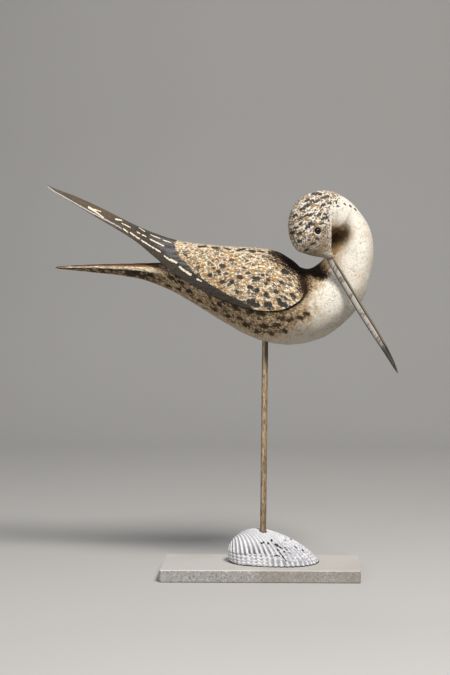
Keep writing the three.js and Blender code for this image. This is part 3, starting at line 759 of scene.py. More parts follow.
# Stations of the trunk, from the tail to the neck: a point on the back and one on the belly, [along, up] in
# mm from the leg's top, then the half width and the shift to the near side as shares of HALF_BODY, and how
# much fuller the belly side is. On the neck and head, back means the inside of the curl.
TRUNK = [
    ((-214.5, 78.4), (-214.5, 77.2), 0.06, 0, -0.3),
    ((-212, 78.9), (-212, 76.4), 0.15, 0, -0.3),
    ((-205, 79.4), (-205, 75.4), 0.22, 0, -0.4),
    ((-191, 80.2), (-191, 74.2), 0.28, 0, -0.5),
    ((-171, 81.2), (-171, 71.9), 0.33, 0, -0.5),
    ((-148, 81.8), (-148, 69.2), 0.37, 0, -0.4),
    ((-125, 82.3), (-124, 64.6), 0.42, 0, -0.3),
    ((-103, 84), (-98, 54.8), 0.5, 0, -0.2),
    ((-80, 93), (-71, 39.5), 0.66, 0, -0.05),
    ((-55, 98.2), (-43, 22.3), 0.83, 0, 0.02),
    ((-29.5, 97), (-15.5, 7.4), 0.95, 0, 0.06),
    ((-3, 95), (12.5, -0.5), 1, 0, 0.1),
    ((17.5, 89), (38, 0), 0.99, 0, 0.12),
    ((31, 81), (62.5, 8), 0.95, 0, 0.15),
    ((39.5, 77.3), (84, 24.5), 0.88, 0, 0.2),
    ((46, 77.3), (99.5, 45.5), 0.81, 0, 0.25),
    ((53, 81), (107.5, 71), 0.75, 0, 0.28),
    ((60, 87.3), (110.5, 95.5), 0.69, 0.01, 0.3),
    ((63.5, 94), (107.5, 115), 0.63, 0.05, 0.28),
    ((65, 101), (98.5, 132), 0.58, 0.12, 0.24),
]
HEAD = [
    TRUNK[-1],
    ((67, 105.5), (84.5, 146.2), 0.56, 0.22, 0.2),
    ((68, 107), (68, 154.5), 0.56, 0.34, 0.16),
    ((68.3, 106.5), (51.5, 155.2), 0.57, 0.45, 0.12),
    ((68.5, 104.5), (37, 148.5), 0.585, 0.55, 0.08),
    ((67.6, 103), (27.3, 137.5), 0.59, 0.62, 0.06),
    ((67.3, 101), (23.3, 123), 0.575, 0.68, 0.05),
    ((67.3, 99), (25, 107.5), 0.515, 0.73, 0.05),
    ((67.6, 97), (31.5, 96), 0.42, 0.77, 0.05),
    ((68, 95), (42.5, 91), 0.32, 0.8, 0.02),
    ((68.6, 93), (52.5, 88.8), 0.25, 0.83, 0),
    ((68.8, 91), (60, 87.6), 0.19, 0.845, 0),
]
# The folded wings from their tips forward: along, the top line, the lower edge, the half width as a share
WINGS = [
    (-222, 161.6, 160.2, 0.03),
    (-213, 157.6, 153.4, 0.07),
    (-193.5, 150.4, 142, 0.13),
    (-172.5, 141, 129.5, 0.2),
    (-151.5, 130.5, 117.3, 0.27),
    (-131, 120.4, 104.5, 0.36),
    (-112, 112.5, 89, 0.48),
    (-90, 105.6, 71.5, 0.6),
    (-66.5, 102, 57.5, 0.7),
    (-36, 99.4, 43.5, 0.76),
    (-8, 98, 35.8, 0.78),
    (12, 94.2, 35.3, 0.78),
    (24, 87.8, 38.6, 0.76),
    (31.5, 82.3, 42.8, 0.74),
    (36.5, 76.5, 47.3, 0.72),
    (39.3, 68, 54, 0.7),
]
NECK_STATION = len(TRUNK) - 1
bird_scale = BIRD_LENGTH / DRAWN_LENGTH


def through(points, shares):
    """Places on the smooth curve through points, at shares from 0 to 1 of its spans."""
    points = np.asarray(points, float)
    points = np.vstack([2 * points[0] - points[1], points, 2 * points[-1] - points[-2]])
    spans = len(points) - 3
    place_on = np.clip(np.asarray(shares, float), 0, 1) * spans
    first = np.minimum(place_on.astype(int), spans - 1)
    t = (place_on - first)[..., None]
    before, start, end, after = (points[first + k] for k in range(4))
    leaving = (end - before) / 2
    arriving = (after - start) / 2
    bend = 3 * (end - start) - 2 * leaving - arriving
    return start + t * (leaving + t * (bend + t * (2 * (start - end) + leaving + arriving)))


def sections(stations, shares):
    """Back points, belly points, half widths, shifts and fullness of a form's sections."""
    back = through([station[0] for station in stations], shares) * bird_scale
    belly = through([station[1] for station in stations], shares) * bird_scale
    wide, aside, full = np.moveaxis(through([station[2:] for station in stations], shares), -1, 0)
    return back, belly, wide * HALF_BODY, aside * HALF_BODY, full


def half_width(wide, full, depth):
    return wide * np.sqrt(np.clip(1 - depth * depth, 0, None)) * (1 + full * depth)


def skin_points(stations, shares, turns):
    """Points of a form's skin, with turns counted from the back over the near side to the belly."""
    back, belly, wide, aside, full = sections(stations, shares)
    depth = -np.cos(turns)
    line = back[:, None] + (belly - back)[:, None] * ((1 + depth) / 2)[None, :, None]
    reach = half_width(wide[:, None], full[:, None], depth[None])
    y = -aside[:, None] - np.sign(np.round(np.sin(turns), 9)) * reach
    return np.stack([line[..., 0], y, line[..., 1]], -1)


def path_rings(first, last, per_span):
    """Rings round the carving from one station to another, closed by low domes."""
    stations = TRUNK + HEAD[1:]
    shares = np.linspace(first, last, (last - first) * per_span + 1) / (len(stations) - 1)
    rings = skin_points(stations, shares, np.linspace(0, 2 * math.pi, CARVING_AROUND, endpoint=False))
    bulge = np.sin(np.linspace(0, math.pi / 2, 9)[1:-1])
    caps = []
    for ring, before in ((rings[0], rings[1]), (rings[-1], rings[-2])):
        middle = ring.mean(0)
        ahead = middle - before.mean(0)
        ahead = ahead / np.linalg.norm(ahead)
        reach = min(END_DOME, np.linalg.norm(ring - middle, axis=1).min())
        caps.append(np.array([middle + (ring - middle) * math.sqrt(1 - b * b) + ahead * reach * b
                              for b in bulge]))
    return np.concatenate([caps[0][::-1], rings, caps[1]])


def trunk_half_width(x, z, proud=0.0, ridge=None):
    """Half the trunk's width at points seen from the side, grown by proud, its top stretched to a ridge."""
    low = np.zeros_like(x)
    high = np.ones_like(x)
    for _ in range(24):
        middle = (low + high) / 2
        back, belly = sections(TRUNK, middle)[:2]
        side = (belly[..., 0] - back[..., 0]) * (z - back[..., 1])
        side = side - (belly[..., 1] - back[..., 1]) * (x - back[..., 0])
        low = np.where(side > 0, middle, low)
        high = np.where(side > 0, high, middle)
    back, belly, wide, _, full = sections(TRUNK, low)
    line = belly - back
    reach = np.linalg.norm(line, axis=-1) / 2
    from_back = ((x - back[..., 0]) * line[..., 0] + (z - back[..., 1]) * line[..., 1]) / (2 * reach)
    from_middle = from_back - reach
    stretch = proud
    if ridge is not None:
        stretch = np.where(from_middle > 0, proud, ridge - back[..., 1])
    depth = from_middle / (reach + stretch)
    return np.where(abs(depth) < 1, half_width(wide + proud, full, np.clip(depth, -1, 1)), 0)


def wing_rings(per_span):
    """Rings round the pair of wings: the ridge, the near face, the hollow underside, the far face."""
    shares = np.linspace(0, 1, (len(WINGS) - 1) * per_span + 1)
    along, top, low = through([station[:3] for station in WINGS], shares).T * bird_scale
    edge = through([(station[3], 0) for station in WINGS], shares)[:, 0] * HALF_BODY
    down = (np.arange(1, WING_FACE_POINTS + 1) / WING_FACE_POINTS) ** 1.5
    z = top[:, None] + (low - top)[:, None] * down
    x = np.repeat(along[:, None], WING_FACE_POINTS, axis=1)
    blade = edge[:, None] * np.sin(math.pi / 2 * down) ** 0.7
    flank = trunk_half_width(x, z, WING_RELIEF, top[:, None])
    fairing = np.clip(WING_FAIRING - abs(blade - flank), 0, None) ** 2 / (4 * WING_FAIRING)
    reach = np.maximum(blade, flank) + fairing * down
    under = low + (top - low) * 0.3
    ridge = np.stack([along, 0 * along, top], -1)[:, None]
    beneath = np.stack([along, 0 * along, under], -1)[:, None]
    near = np.stack([x, -reach, z], -1)
    far = np.stack([x, reach, z], -1)[:, ::-1]
    return np.concatenate([ridge, near, beneath, far], 1)


def facing_out(rings):
    """Points and faces of a closed form, with its faces turned outwards."""
    points, faces = closed_skin(rings)
    a, b, c = (points[[face[k] for face in faces]] for k in range(3))
    volume = (a * np.cross(b, c)).sum()
    return points, faces if volume > 0 else [face[::-1] for face in faces]


def thickened(rings):
    """The same rings with their thin ends made thick enough to survive being joined in voxels."""
    middle = (rings.max(1, keepdims=True) + rings.min(1, keepdims=True)) / 2
    extent = rings.max(1, keepdims=True) - rings.min(1, keepdims=True)
    grow = np.maximum(1, THINNEST_IN_VOXELS * CARVING_VOXEL / np.maximum(extent, 0.2))
    grow[..., 0] = 1
    return middle + (rings - middle) * grow


def hollow_placed(points):
    """Points in the frame of the hollow's egg shape, whose surface lies at radius 1."""
    offset = points - np.array(HOLLOW_PLACE) * (bird_scale, 1, bird_scale)
    cos, sin = math.cos(HOLLOW_TILT), math.sin(HOLLOW_TILT)
    across = offset[..., 0] * cos - offset[..., 2] * sin
    lengthwise = offset[..., 0] * sin + offset[..., 2] * cos
    return np.stack([across, offset[..., 1], lengthwise], -1) / HOLLOW_HALF


def hollow_cutter():
    rows = np.linspace(0, math.pi, HOLLOW_ROWS)[1:-1, None]
    turns = np.linspace(0, 2 * math.pi, HOLLOW_AROUND, endpoint=False)
    egg = np.stack([np.sin(rows) * np.cos(turns), np.sin(rows) * np.sin(turns), np.cos(rows) + 0 * turns], -1)
    egg = egg * HOLLOW_HALF
    cos, sin = math.cos(HOLLOW_TILT), math.sin(HOLLOW_TILT)
    turned = np.stack([egg[..., 0] * cos + egg[..., 2] * sin, egg[..., 1],
                       egg[..., 2] * cos - egg[..., 0] * sin], -1)
    points, faces = facing_out(turned + np.array(HOLLOW_PLACE) * (bird_scale, 1, bird_scale))
    return make_piece("hollow_cutter", points * MM, faces, "", "")


def rough_body():
    """Trunk and head joined to one even mesh, with the hollow cut in, still rough from the voxels."""
    trunk_part, trunk_faces = facing_out(thickened(trunk_rings))
    head_part, head_faces = facing_out(thickened(head_rings))
    faces = list(trunk_faces) + [tuple(len(trunk_part) + i for i in face) for face in head_faces]
    body = make_piece("bird", np.concatenate([trunk_part, head_part]) * MM, faces, "", "")
    apply_modifier(body, "REMESH", mode="VOXEL", voxel_size=CARVING_VOXEL * MM)
    cutter = hollow_cutter()
    apply_modifier(body, "BOOLEAN", operation="DIFFERENCE", solver="EXACT", object=cutter)
    bpy.data.objects.remove(cutter)
    apply_modifier(body, "REMESH", mode="VOXEL", voxel_size=CARVING_VOXEL * MM)
    return body


def distance_outside(rings, points):
    """How far points lie outside a form, which way is out there, and the nearest face of its rings."""
    skin, faces = facing_out(rings)
    tree = BVHTree.FromPolygons(skin.tolist(), faces)
    distance = np.empty(len(points))
    out = np.empty((len(points), 3))
    face = np.empty(len(points), int)
    for i, point in enumerate(points):
        nearest, normal, face[i], _ = tree.find_nearest(point)
        gap = Vector(point) - nearest
        side = 1 if gap.dot(normal) >= 0 else -1
        distance[i] = side * gap.length
        out[i] = normal if gap.length < ON_SKIN else side * gap / gap.length
    return distance, out, face


def soft_least(first, second, fillet):
    """The lesser of two distances, rounded by a fillet where their surfaces meet at an angle."""
    (a, a_out), (b, b_out) = first, second
    soft = np.maximum(fillet * (1 - (a_out * b_out).sum(1)), 1e-6)
    share = np.clip(0.5 + 0.5 * (b - a) / soft, 0, 1)
    distance = b + (a - b) * share - soft * share * (1 - share)
    out = b_out + (a_out - b_out) * share[:, None]
    return distance, out / np.maximum(np.linalg.norm(out, axis=1, keepdims=True), 1e-9)


def distance_in_hollow(points):
    """How far points lie outside the hollow's egg shape, about, and the way out of it."""
    radius = np.linalg.norm(hollow_placed(points), axis=1)
    step = 0.01
    slope = np.stack([(np.linalg.norm(hollow_placed(points + step * axis), axis=1) - radius) / step
                      for axis in np.eye(3)], -1)
    steep = np.maximum(np.linalg.norm(slope, axis=1), 1e-6)
    return (radius - 1) / steep, slope / steep[:, None]


def onto_carving(points):
    """Moves rough points onto the carving, with small fillets where its forms meet."""
    for _ in range(3):
        trunk_gap, trunk_out, _ = distance_outside(trunk_rings, points)
        head_gap, head_out, _ = distance_outside(head_rings, points)
        gap, out = soft_least((head_gap, head_out), (trunk_gap, trunk_out), CREASE_FILLET)
        hollow_gap, hollow_out = distance_in_hollow(points)
        to_right = soft_step(-0.5, 0.5, hollow_placed(points)[:, 0])
        fillet = CHEEK_FILLET + (NECK_FILLET - CHEEK_FILLET) * to_right
        kept_gap, kept_out = soft_least((-gap, -out), (hollow_gap, hollow_out), fillet)
        points = points - kept_gap[:, None] * kept_out
    return points


def eye_seat(station, turn):
    """The middle of an eye and the way it looks."""
    step = 0.01
    shares = np.array([station - step, station, station + step])
    turns = np.array([turn - step, turn, turn + step])
    around = skin_points(HEAD, shares, turns)
    out = np.cross(around[2, 1] - around[0, 1], around[1, 2] - around[1, 0])
    back, belly, _, aside, _ = sections(HEAD, np.array([station]))
    middle = np.array([(back[0, 0] + belly[0, 0]) / 2, -aside[0], (back[0, 1] + belly[0, 1]) / 2])
    out = out / np.linalg.norm(out)
    if out @ (around[1, 1] - middle) < 0:
        out = -out
    return around[1, 1] - EYE_SUNK * out, out


def from_eyes(points):
    """How far points of the head lie from the middle line of the nearer eye, and how far below that eye."""
    reach = np.full(len(points), float(FAR_FROM_EYE))
    below = np.zeros(len(points))
    for centre, out in (eye_seat(*seat) for seat in EYE_PLACES.values()):
        offset = points - centre
        depth = offset @ out
        gap = np.linalg.norm(offset - depth[:, None] * out, axis=1)
        nearer = (gap < reach) & (abs(depth) < EYE_AREA_DEPTH)
        reach = np.where(nearer, gap, reach)
        below = np.where(nearer, -offset[:, 2], below)
    return reach, below


def raise_lids(piece):
    """Cuts the skin finer about the eyes and raises a narrow lid round each of them."""
    reach = from_eyes(read_points(piece) / MM)[0]
    mesh = bmesh.new()
    mesh.from_mesh(piece.data)
    mesh.verts.ensure_lookup_table()
    near = [edge for edge in mesh.edges
            if all(reach[vertex.index] < 2 * EYE_LID_REACH for vertex in edge.verts)]
    bmesh.ops.subdivide_edges(mesh, edges=near, cuts=2, use_grid_fill=True)
    mesh.to_mesh(piece.data)
    mesh.free()
    points = read_points(piece) / MM
    reach = from_eyes(points)[0]
    lid = EYE_LID_RISE * np.exp(-((reach - EYE_LID_REACH) / EYE_LID_HALF) ** 2)
    set_points(piece, (points + lid[:, None] * read_points(piece, "normal")) * MM)


def carved_bird():
    """The body moved onto its true shape, with the wings joined on and the lids raised."""
    body = rough_body()
    points = onto_carving(read_points(body) / MM)
    waves = KNIFE_WAVES * (ripple(points, KNIFE_WAVE_SPAN, 41) - KNIFE_WAVES_IN)
    inward = read_points(body, "normal")
    set_points(body, (points + np.clip(waves, -2 * KNIFE_WAVES, 0)[:, None] * inward) * MM)
    points, faces = facing_out(wings_drawn)
    blade = make_piece("wings_to_join", points * MM, faces, "", "")
    apply_modifier(body, "BOOLEAN", operation="UNION", solver="EXACT", object=blade)
    bpy.data.objects.remove(blade)
    raise_lids(body)
    return body


# Where the brush was set down, [along, up] in mm from the leg's top, on the near side. The far side has
# the same marks. Boundaries run from the back downwards, or from the tail forwards.
COVERTS_EDGE = [
    (-89.1, 108), (-91.8, 102.6), (-88.1, 89.8), (-77.5, 81.7), (-69.2, 71.4), (-55.1, 62.2), (-40, 53),
    (-25, 46.3), (-13.4, 39.4), (-8, 32),
]
FLANK_EDGE = [
    (-240, 62), (-168, 70.5), (-143, 65.5), (-118, 60), (-97, 55), (-76, 45), (-52, 32), (-34, 23),
    (-19.5, 16.4), (-6, 10.6), (7.4, 10), (19, 12), (28, 18.5), (38.4, 23.7), (46, 29.9), (43.5, 36),
    (42, 43.2), (47, 51.3), (52, 59.5), (60, 69.6), (66, 80), (65, 95), (60, 200),
]
HEAD_EDGE = [
    (82, 160), (74, 147), (66.5, 137), (62.5, 130.7), (63.6, 117.8), (66.1, 107.8), (68.5, 98), (70, 93),
    (71, 88), (71, 78),
]
# The hollow's stain and painted shade fade out over this line, on the neck
HOLLOW_EDGE = [(93, 128), (84, 112), (77, 98), (70, 86)]
LIGHT_DASHES = [
    ((-85.1, 78.3), (-73.9, 71.4), 1.5), ((-68.1, 66.6), (-63.3, 64.7), 1.2),
    ((-95.4, 85.6), (-89.1, 82.5), 1.6), ((-101.1, 89.7), (-96.9, 86.9), 1.1),
    ((-114.3, 98.5), (-105.4, 93.4), 1.1), ((-124.8, 105.2), (-116.4, 100), 1.0),
    ((-136, 113), (-127.4, 107.2), 1.0), ((-143.1, 117.1), (-139, 114), 0.9),
    ((-145.6, 122.8), (-137.2, 118.7), 0.9), ((-151.4, 127), (-146.4, 126), 1.3),
    ((-128.3, 118.2), (-122.4, 114.6), 0.9), ((-116, 110.9), (-106.6, 107.3), 0.9),
    ((-115.7, 106.2), (-102, 100), 0.9), ((-103.4, 105.7), (-96.1, 103.1), 0.9),
    ((-129.9, 114), (-126.7, 112.4), 0.8), ((-124.6, 110.9), (-120.4, 109.4), 0.8),
    ((-179.1, 138.8), (-174.1, 136), 1.7), ((-174.1, 137), (-166.9, 135.1), 0.9),
    ((-174.1, 136), (-163.9, 128.8), 1.0),
]
COVERT_SPOTS = [
    (-42.7, 64.2), (-46, 74.3), (-42, 79.7), (-25.2, 68.8), (-27.2, 53.4), (-14.5, 58), (-7.8, 67.5),
    (3.7, 66.1), (1.1, 62.1), (1.7, 51.4), (11.8, 54), (14.5, 46.6), (17.2, 63.5), (-7.1, 55.4),
    (19.8, 74.2), (-32.5, 63.5), (-55.8, 71), (28, 50.5), (16.8, 41.5), (20.4, 41.2),
]
BIG_SPOTS = [(-13.1, 43.9), (-8.4, 40.6), (3.7, 41.9)]
RIDGE_SPOTS = [
    (-63.6, 99.4), (-50.5, 97.8), (-38.2, 96.8), (-23.8, 95.8), (-12.8, 94.8), (-3.8, 94.2), (7.9, 92),
]
HEAD_DABS = [
    (55.5, 151.8), (50, 152.3), (61.5, 148.5), (42.5, 145.3), (47.5, 144.8), (52.5, 144.3), (59, 141.1),
    (64.7, 142.8), (43, 139.5), (38, 137.2), (37, 127.8), (41.5, 129.8), (45.5, 130.8), (54.5, 130.9),
    (60.5, 131.4), (60.5, 127.3), (30.5, 129.8), (43, 118.8), (45.5, 121.8), (48.5, 121.4), (36, 121.8),
    (57, 121.8), (30.8, 117.8), (27.8, 113.2), (34.5, 111.8), (35.5, 104.6), (53, 106.6), (48.5, 102.1),
    (44.5, 105.5), (42, 95.6),
]
NECK_DABS = [(72.8, 140.5), (80.5, 141.7), (86, 139.8), (91, 136.7), (72.2, 143.4), (73.5, 139.2)]
FLANK_BLOBS = [
    (-130.6, 73.3), (-115.6, 70), (-98.3, 59.6), (-94.5, 67.6), (-87.7, 55.8), (-84.8, 63.1),
    (-76.5, 53.3), (-66.9, 44.2), (-50.6, 35.3), (-45.7, 40.7), (-24.8, 27.3), (-18.9, 20.1),
    (-7.8, 12.9), (-1.6, 19.4), (5.4, 12.1), (12.6, 20.5), (19.6, 14.3), (17.6, 26.7), (-28.7, 37.5),
    (-14.6, 33.6), (-2.5, 31.7), (25.6, 25.7), (35.7, 27.7), (41.7, 31.7), (-37.1, 29.1),
]
STAINS = [
    ((14, 93), (38, 77), 9.5), ((38, 75), (52, 77), 6.5), ((38, 74), (39.5, 58), 5.5),
    ((50, 73), (59, 70), 4.5),
]
# The worn light line along the near wing's lower edge, from the tip forwards
WORN_EDGE = [
    (-221.5, 160.3), (-212.4, 153.9), (-200.2, 146.8), (-188.1, 140.3), (-178.3, 134.6), (-162.5, 126.8),
    (-152.7, 121.8), (-145.4, 117.6),
]


def read_off(rings, table, points):
    """Values of a table over the points of rings, read where other points lie nearest to them."""
    skin, faces = facing_out(rings)
    tree = BVHTree.FromPolygons(skin.tolist(), faces)
    rows, around = rings.shape[:2]
    nearest = [tree.find_nearest(point) for point in points]
    face = np.minimum(np.array([found[2] for found in nearest]), (rows - 1) * around - 1)
    on_skin = np.array([found[0] for found in nearest])
    row, side = np.divmod(face, around)
    after = (side + 1) % around
    corner = rings[row, side]
    shares = []
    for end in (rings[row, after], rings[row + 1, side]):
        edge = end - corner
        long = np.maximum((edge ** 2).sum(1), 1e-9)
        shares.append(np.clip(((on_skin - corner) * edge).sum(1) / long, 0, 1)[:, None])
    low = table[row, side] * (1 - shares[0]) + table[row, after] * shares[0]
    high = table[row + 1, side] * (1 - shares[0]) + table[row + 1, after] * shares[0]
    return low * (1 - shares[1]) + high * shares[1], np.linalg.norm(on_skin - points, axis=1)


def lengths_round(rings, start):
    """Length of skin from one column of the rings to each point, the shorter way round."""
    turned = np.roll(rings, -start, axis=1)
    steps = np.linalg.norm(np.roll(turned, -1, axis=1) - turned, axis=-1)
    forward = np.cumsum(steps, axis=1) - steps
    backward = steps.sum(1, keepdims=True) - forward
    return np.roll(np.minimum(forward, backward), start, axis=1)


def signed_gap(points, line):
    """Distance of points of a plane from a line of straight pieces, above zero on its right."""
    best = np.full(len(points), np.inf)
    sign = np.ones(len(points))
    for start, end in zip(line[:-1], line[1:]):
        gap = distance_to_stroke(points, start, end)
        turn = (end[0] - start[0]) * (points[:, 1] - start[1])
        turn = turn - (end[1] - start[1]) * (points[:, 0] - start[0])
        nearer = gap < best - 1e-9
        sign = np.where(nearer, np.sign(turn), sign)
        best = np.where(nearer, gap, best)
    return -best * sign


def closeness(flow, seen, where, strokes):
    """How near each point is to any of the strokes: over 1 inside one, falling to 0 two half widths out."""
    near = np.zeros(len(flow))
    ends = np.array([end for stroke in strokes for end in stroke[:2]], float) * bird_scale
    found = []
    for end in ends:
        away = np.where(where, np.hypot(*(seen - end).T), np.inf)
        found.append(flow[int(away.argmin()), :2])
    for i, stroke in enumerate(strokes):
        gap = distance_to_stroke(flow[:, :2], found[2 * i], found[2 * i + 1]) / stroke[2]
        near = np.maximum(near, 2 - gap)
    return near


def dabs(places, breadth, length, seed, rise=0.0):
    """Strokes of about one length at places, each a little different, rising by a share of the length."""
    rng = np.random.default_rng(seed)
    strokes = []
    for x, z in places:
        half = length / 2 * rng.uniform(0.6, 1.3)
        lift = half * (rise + rng.uniform(-0.25, 0.25))
        strokes.append(((x - half, z - lift), (x + half, z + lift), breadth * rng.uniform(0.75, 1.2)))
    return strokes


def path_lengths(rings):
    """How far along the middle of the rings each ring lies."""
    steps = np.linalg.norm(np.diff(rings.mean(1), axis=0), axis=1)
    return np.concatenate([[0], np.cumsum(steps)])


# Shifts in mm that keep the brush marks of body, head and wings apart where they meet, how fast the marks
# change across the bird, and the distance that is stored where there is no wing
HEAD_FLOW_BACK = 45
WING_FLOW_AHEAD = 500
FLOW_ACROSS = 0.35
FAR_FROM_WING = 60
# Which part a point belongs to: how much nearer than the head the trunk has to be, the y below which a
# normal faces the near side, where the neck begins and the cheek ends, and how deep the cheek's skin is.
# Lengths are in mm, and places are [along, up] from the leg's top.
HEAD_FIRST = 0.05
FACING_NEAR = -0.15
NECK_FROM = (20, 100)
CHEEK_TO = 67
CHEEK_SKIN = 0.35
WORN_HALF = 0.8


def flow_tables():
    """At each point of the rings: how far it lies along and across the feathers, and down to the belly."""
    tables = {}
    for name, rings in (("trunk", trunk_rings), ("head", head_rings)):
        turns = np.linspace(0, 2 * math.pi, CARVING_AROUND, endpoint=False)
        length = np.repeat(path_lengths(rings)[:, None], CARVING_AROUND, 1)
        share = np.broadcast_to((1 - np.cos(turns)) / 2, length.shape)
        tables[name] = np.stack([length, lengths_round(rings, CARVING_AROUND // 2), share], -1)
    tables["head"][..., 0] += path_lengths(trunk_rings)[-1] - HEAD_FLOW_BACK
    down = lengths_round(wings_drawn, 0)
    above_edge = down[:, [WING_FACE_POINTS]] - down
    tables["wings"] = np.stack([wings_drawn[..., 0], down, above_edge], -1)
    return tables


def from_wing_edge(points):
    """How far points lie from the wings' lower edges and front end."""
    near, far = WING_FACE_POINTS, WING_FACE_POINTS + 2
    edge_line = np.concatenate([wings_drawn[:, near], wings_drawn[:, far], wings_drawn[-1, 1:near],
                                wings_drawn[-1, far:]])
    tree = KDTree(len(edge_line))
    for i, point in enumerate(edge_line):
        tree.insert(point, i)
    tree.balance()
    return [tree.find(point)[2] for point in points]


def mark_paint(piece):
    """Stores where each colour was laid, as distances in mm that the paint's own edges follow."""
    points = read_points(piece) / MM
    seen = points[:, [0, 2]]
    normals = read_points(piece, "normal")
    tables = flow_tables()
    trunk, trunk_gap = read_off(trunk_rings, tables["trunk"], points)
    head, head_gap = read_off(head_rings, tables["head"], points)
    wings, wings_gap = read_off(wings_drawn, tables["wings"], points)
    on_wing = wings_gap < ON_SKIN
    on_head = (head_gap < trunk_gap + HEAD_FIRST) & ~on_wing
    neck_up = on_head | ((seen > np.array(NECK_FROM) * bird_scale).all(1))
    body = np.where(on_head[:, None], head, trunk)
    flow = np.where(on_wing[:, None], wings + (WING_FLOW_AHEAD, 0, 0), body)
    flow[:, 2] = FLOW_ACROSS * points[:, 1]
    attribute = piece.data.attributes.new("flow", "FLOAT_VECTOR", "POINT")
    attribute.data.foreach_set("vector", flow.astype(np.float32).ravel())
    near_side = normals[:, 1] < FACING_NEAR
    on_near_wing = near_side & on_wing
    on_near_flank = near_side & ~on_wing & ~on_head
    worn = [(start, end, WORN_HALF) for start, end in zip(WORN_EDGE[:-1], WORN_EDGE[1:])]
    spots = dabs(COVERT_SPOTS, 2.3, 1.6, 51) + dabs(RIDGE_SPOTS, 2.4, 5, 52) + dabs(BIG_SPOTS, 3.1, 3.0, 56)
    slates = dabs(HEAD_DABS, 1.5, 2.6, 53, 0.3) + dabs(NECK_DABS, 0.8, 1.6, 54, -0.7)
    stained = np.zeros(len(points))
    for start, end, half in STAINS:
        stained = np.maximum(stained, 1.8 - distance_to_stroke(seen, start, end) / half)
    # The hollow's mark, for its stain and painted shade: highest deep in the egg shape, falling off over
    # HOLLOW_EDGE.
    in_hollow = hollow_placed(points)
    upwards = in_hollow[:, 2] * np.where(in_hollow[:, 2] > 0, 1.5, 0.8)
    inside = np.stack([np.maximum(in_hollow[:, 0], 0), 0.4 * in_hollow[:, 1], upwards], -1)
    stain_and_shade = np.minimum(1.5 - np.linalg.norm(inside, axis=1), 0.35 + signed_gap(seen, HOLLOW_EDGE) / 8)
    on_cheek = on_head & (head_gap < CHEEK_SKIN) & (seen[:, 0] < CHEEK_TO * bird_scale)
    eye_reach, below_eye = from_eyes(points)
    marks = {
        "on_wing": on_wing,
        "on_head": neck_up,
        "above_edge": np.where(on_wing, wings[:, 2], FAR_FROM_WING),
        "down_wing": np.where(on_wing, wings[:, 1], FAR_FROM_WING),
        "to_belly": np.where(on_wing, 0, body[:, 2]),
        "along": points[:, 0],
        "coverts": -signed_gap(seen, COVERTS_EDGE),
        "pale": signed_gap(seen, FLANK_EDGE),
        "crown": signed_gap(seen, HEAD_EDGE),
        "to_bill": np.linalg.norm(points - head_rings[-8].mean(0), axis=1),
        "facing_down": -normals[:, 2],
        "dash": closeness(flow, seen, on_near_wing, LIGHT_DASHES),
        "worn": closeness(flow, seen, on_near_wing, worn),
        "slate": closeness(flow, seen, on_near_wing, spots),
        "head_dab": closeness(seen, seen, neck_up, slates),
        "umber": closeness(flow, seen, on_near_flank, dabs(FLANK_BLOBS, 2.3, 2.6, 55)),
        "stain": np.where(on_head, 0, stained),
        "hollow": np.where((points[:, 1] > -4) | on_cheek, -2, stain_and_shade),
        "hollow_left": -in_hollow[:, 0],
        "eye_reach": eye_reach,
        "below_eye": below_eye,
        "wing_line": from_wing_edge(points),
    }
    for name, values in marks.items():
        mark(piece, name, values)


CREAM = (0.8, 0.75, 0.66)
CREAM_DULL = (0.66, 0.57, 0.44)
CREAM_LINE = (0.87, 0.78, 0.61)
OCHRE = (0.4, 0.22, 0.07)
HEAD_OCHRE = (0.41, 0.27, 0.13)
TAN = (0.34, 0.23, 0.125)
SLATE = (0.028, 0.029, 0.033)
SLATE_BLUE_SHEEN = (0.19, 0.193, 0.207)
UMBER = (0.022, 0.015, 0.009)
FLANK_TAN = (0.185, 0.12, 0.064)
FLANK_LIGHT = (0.43, 0.31, 0.182)
FLANK_FLECK = (0.62, 0.495, 0.335)
BELLY_PAINTED_SHADE = (0.36, 0.325, 0.26)
FACE_BROWN = (0.16, 0.115, 0.07)
FACE_GREY = (0.42, 0.335, 0.225)
BILL_ROOT_GREY = (0.33, 0.3, 0.25)
PRIMARY_BROWN = (0.1, 0.08, 0.06)
PRIMARY_DARK = (0.045, 0.042, 0.038)
WORN_GREY = (0.56, 0.54, 0.54)
TAIL_BROWN = (0.2, 0.085, 0.028)
STAIN_AND_SHADOW_BROWN = (0.017, 0.0095, 0.0045)
WASH_BROWN = (0.13, 0.085, 0.045)
CROWN_ROWS_TILT = math.radians(25)
HOLLOW_STAIN_AND_SHADE = (0.23, 0.138, 0.06)
HOLLOW_HAZE = (0.5, 0.36, 0.2)
# Painted rings about the eyes, in mm: radius, and how far off that line the paint ends and is full. The ring
# over the eye is painted shade.
EYE_RINGS = {"lid": (3.2, 0.6, 0.25), "crescent": (4.0, 0.7, 0.3), "shade over eye": (4.2, 1.4, 0.6)}


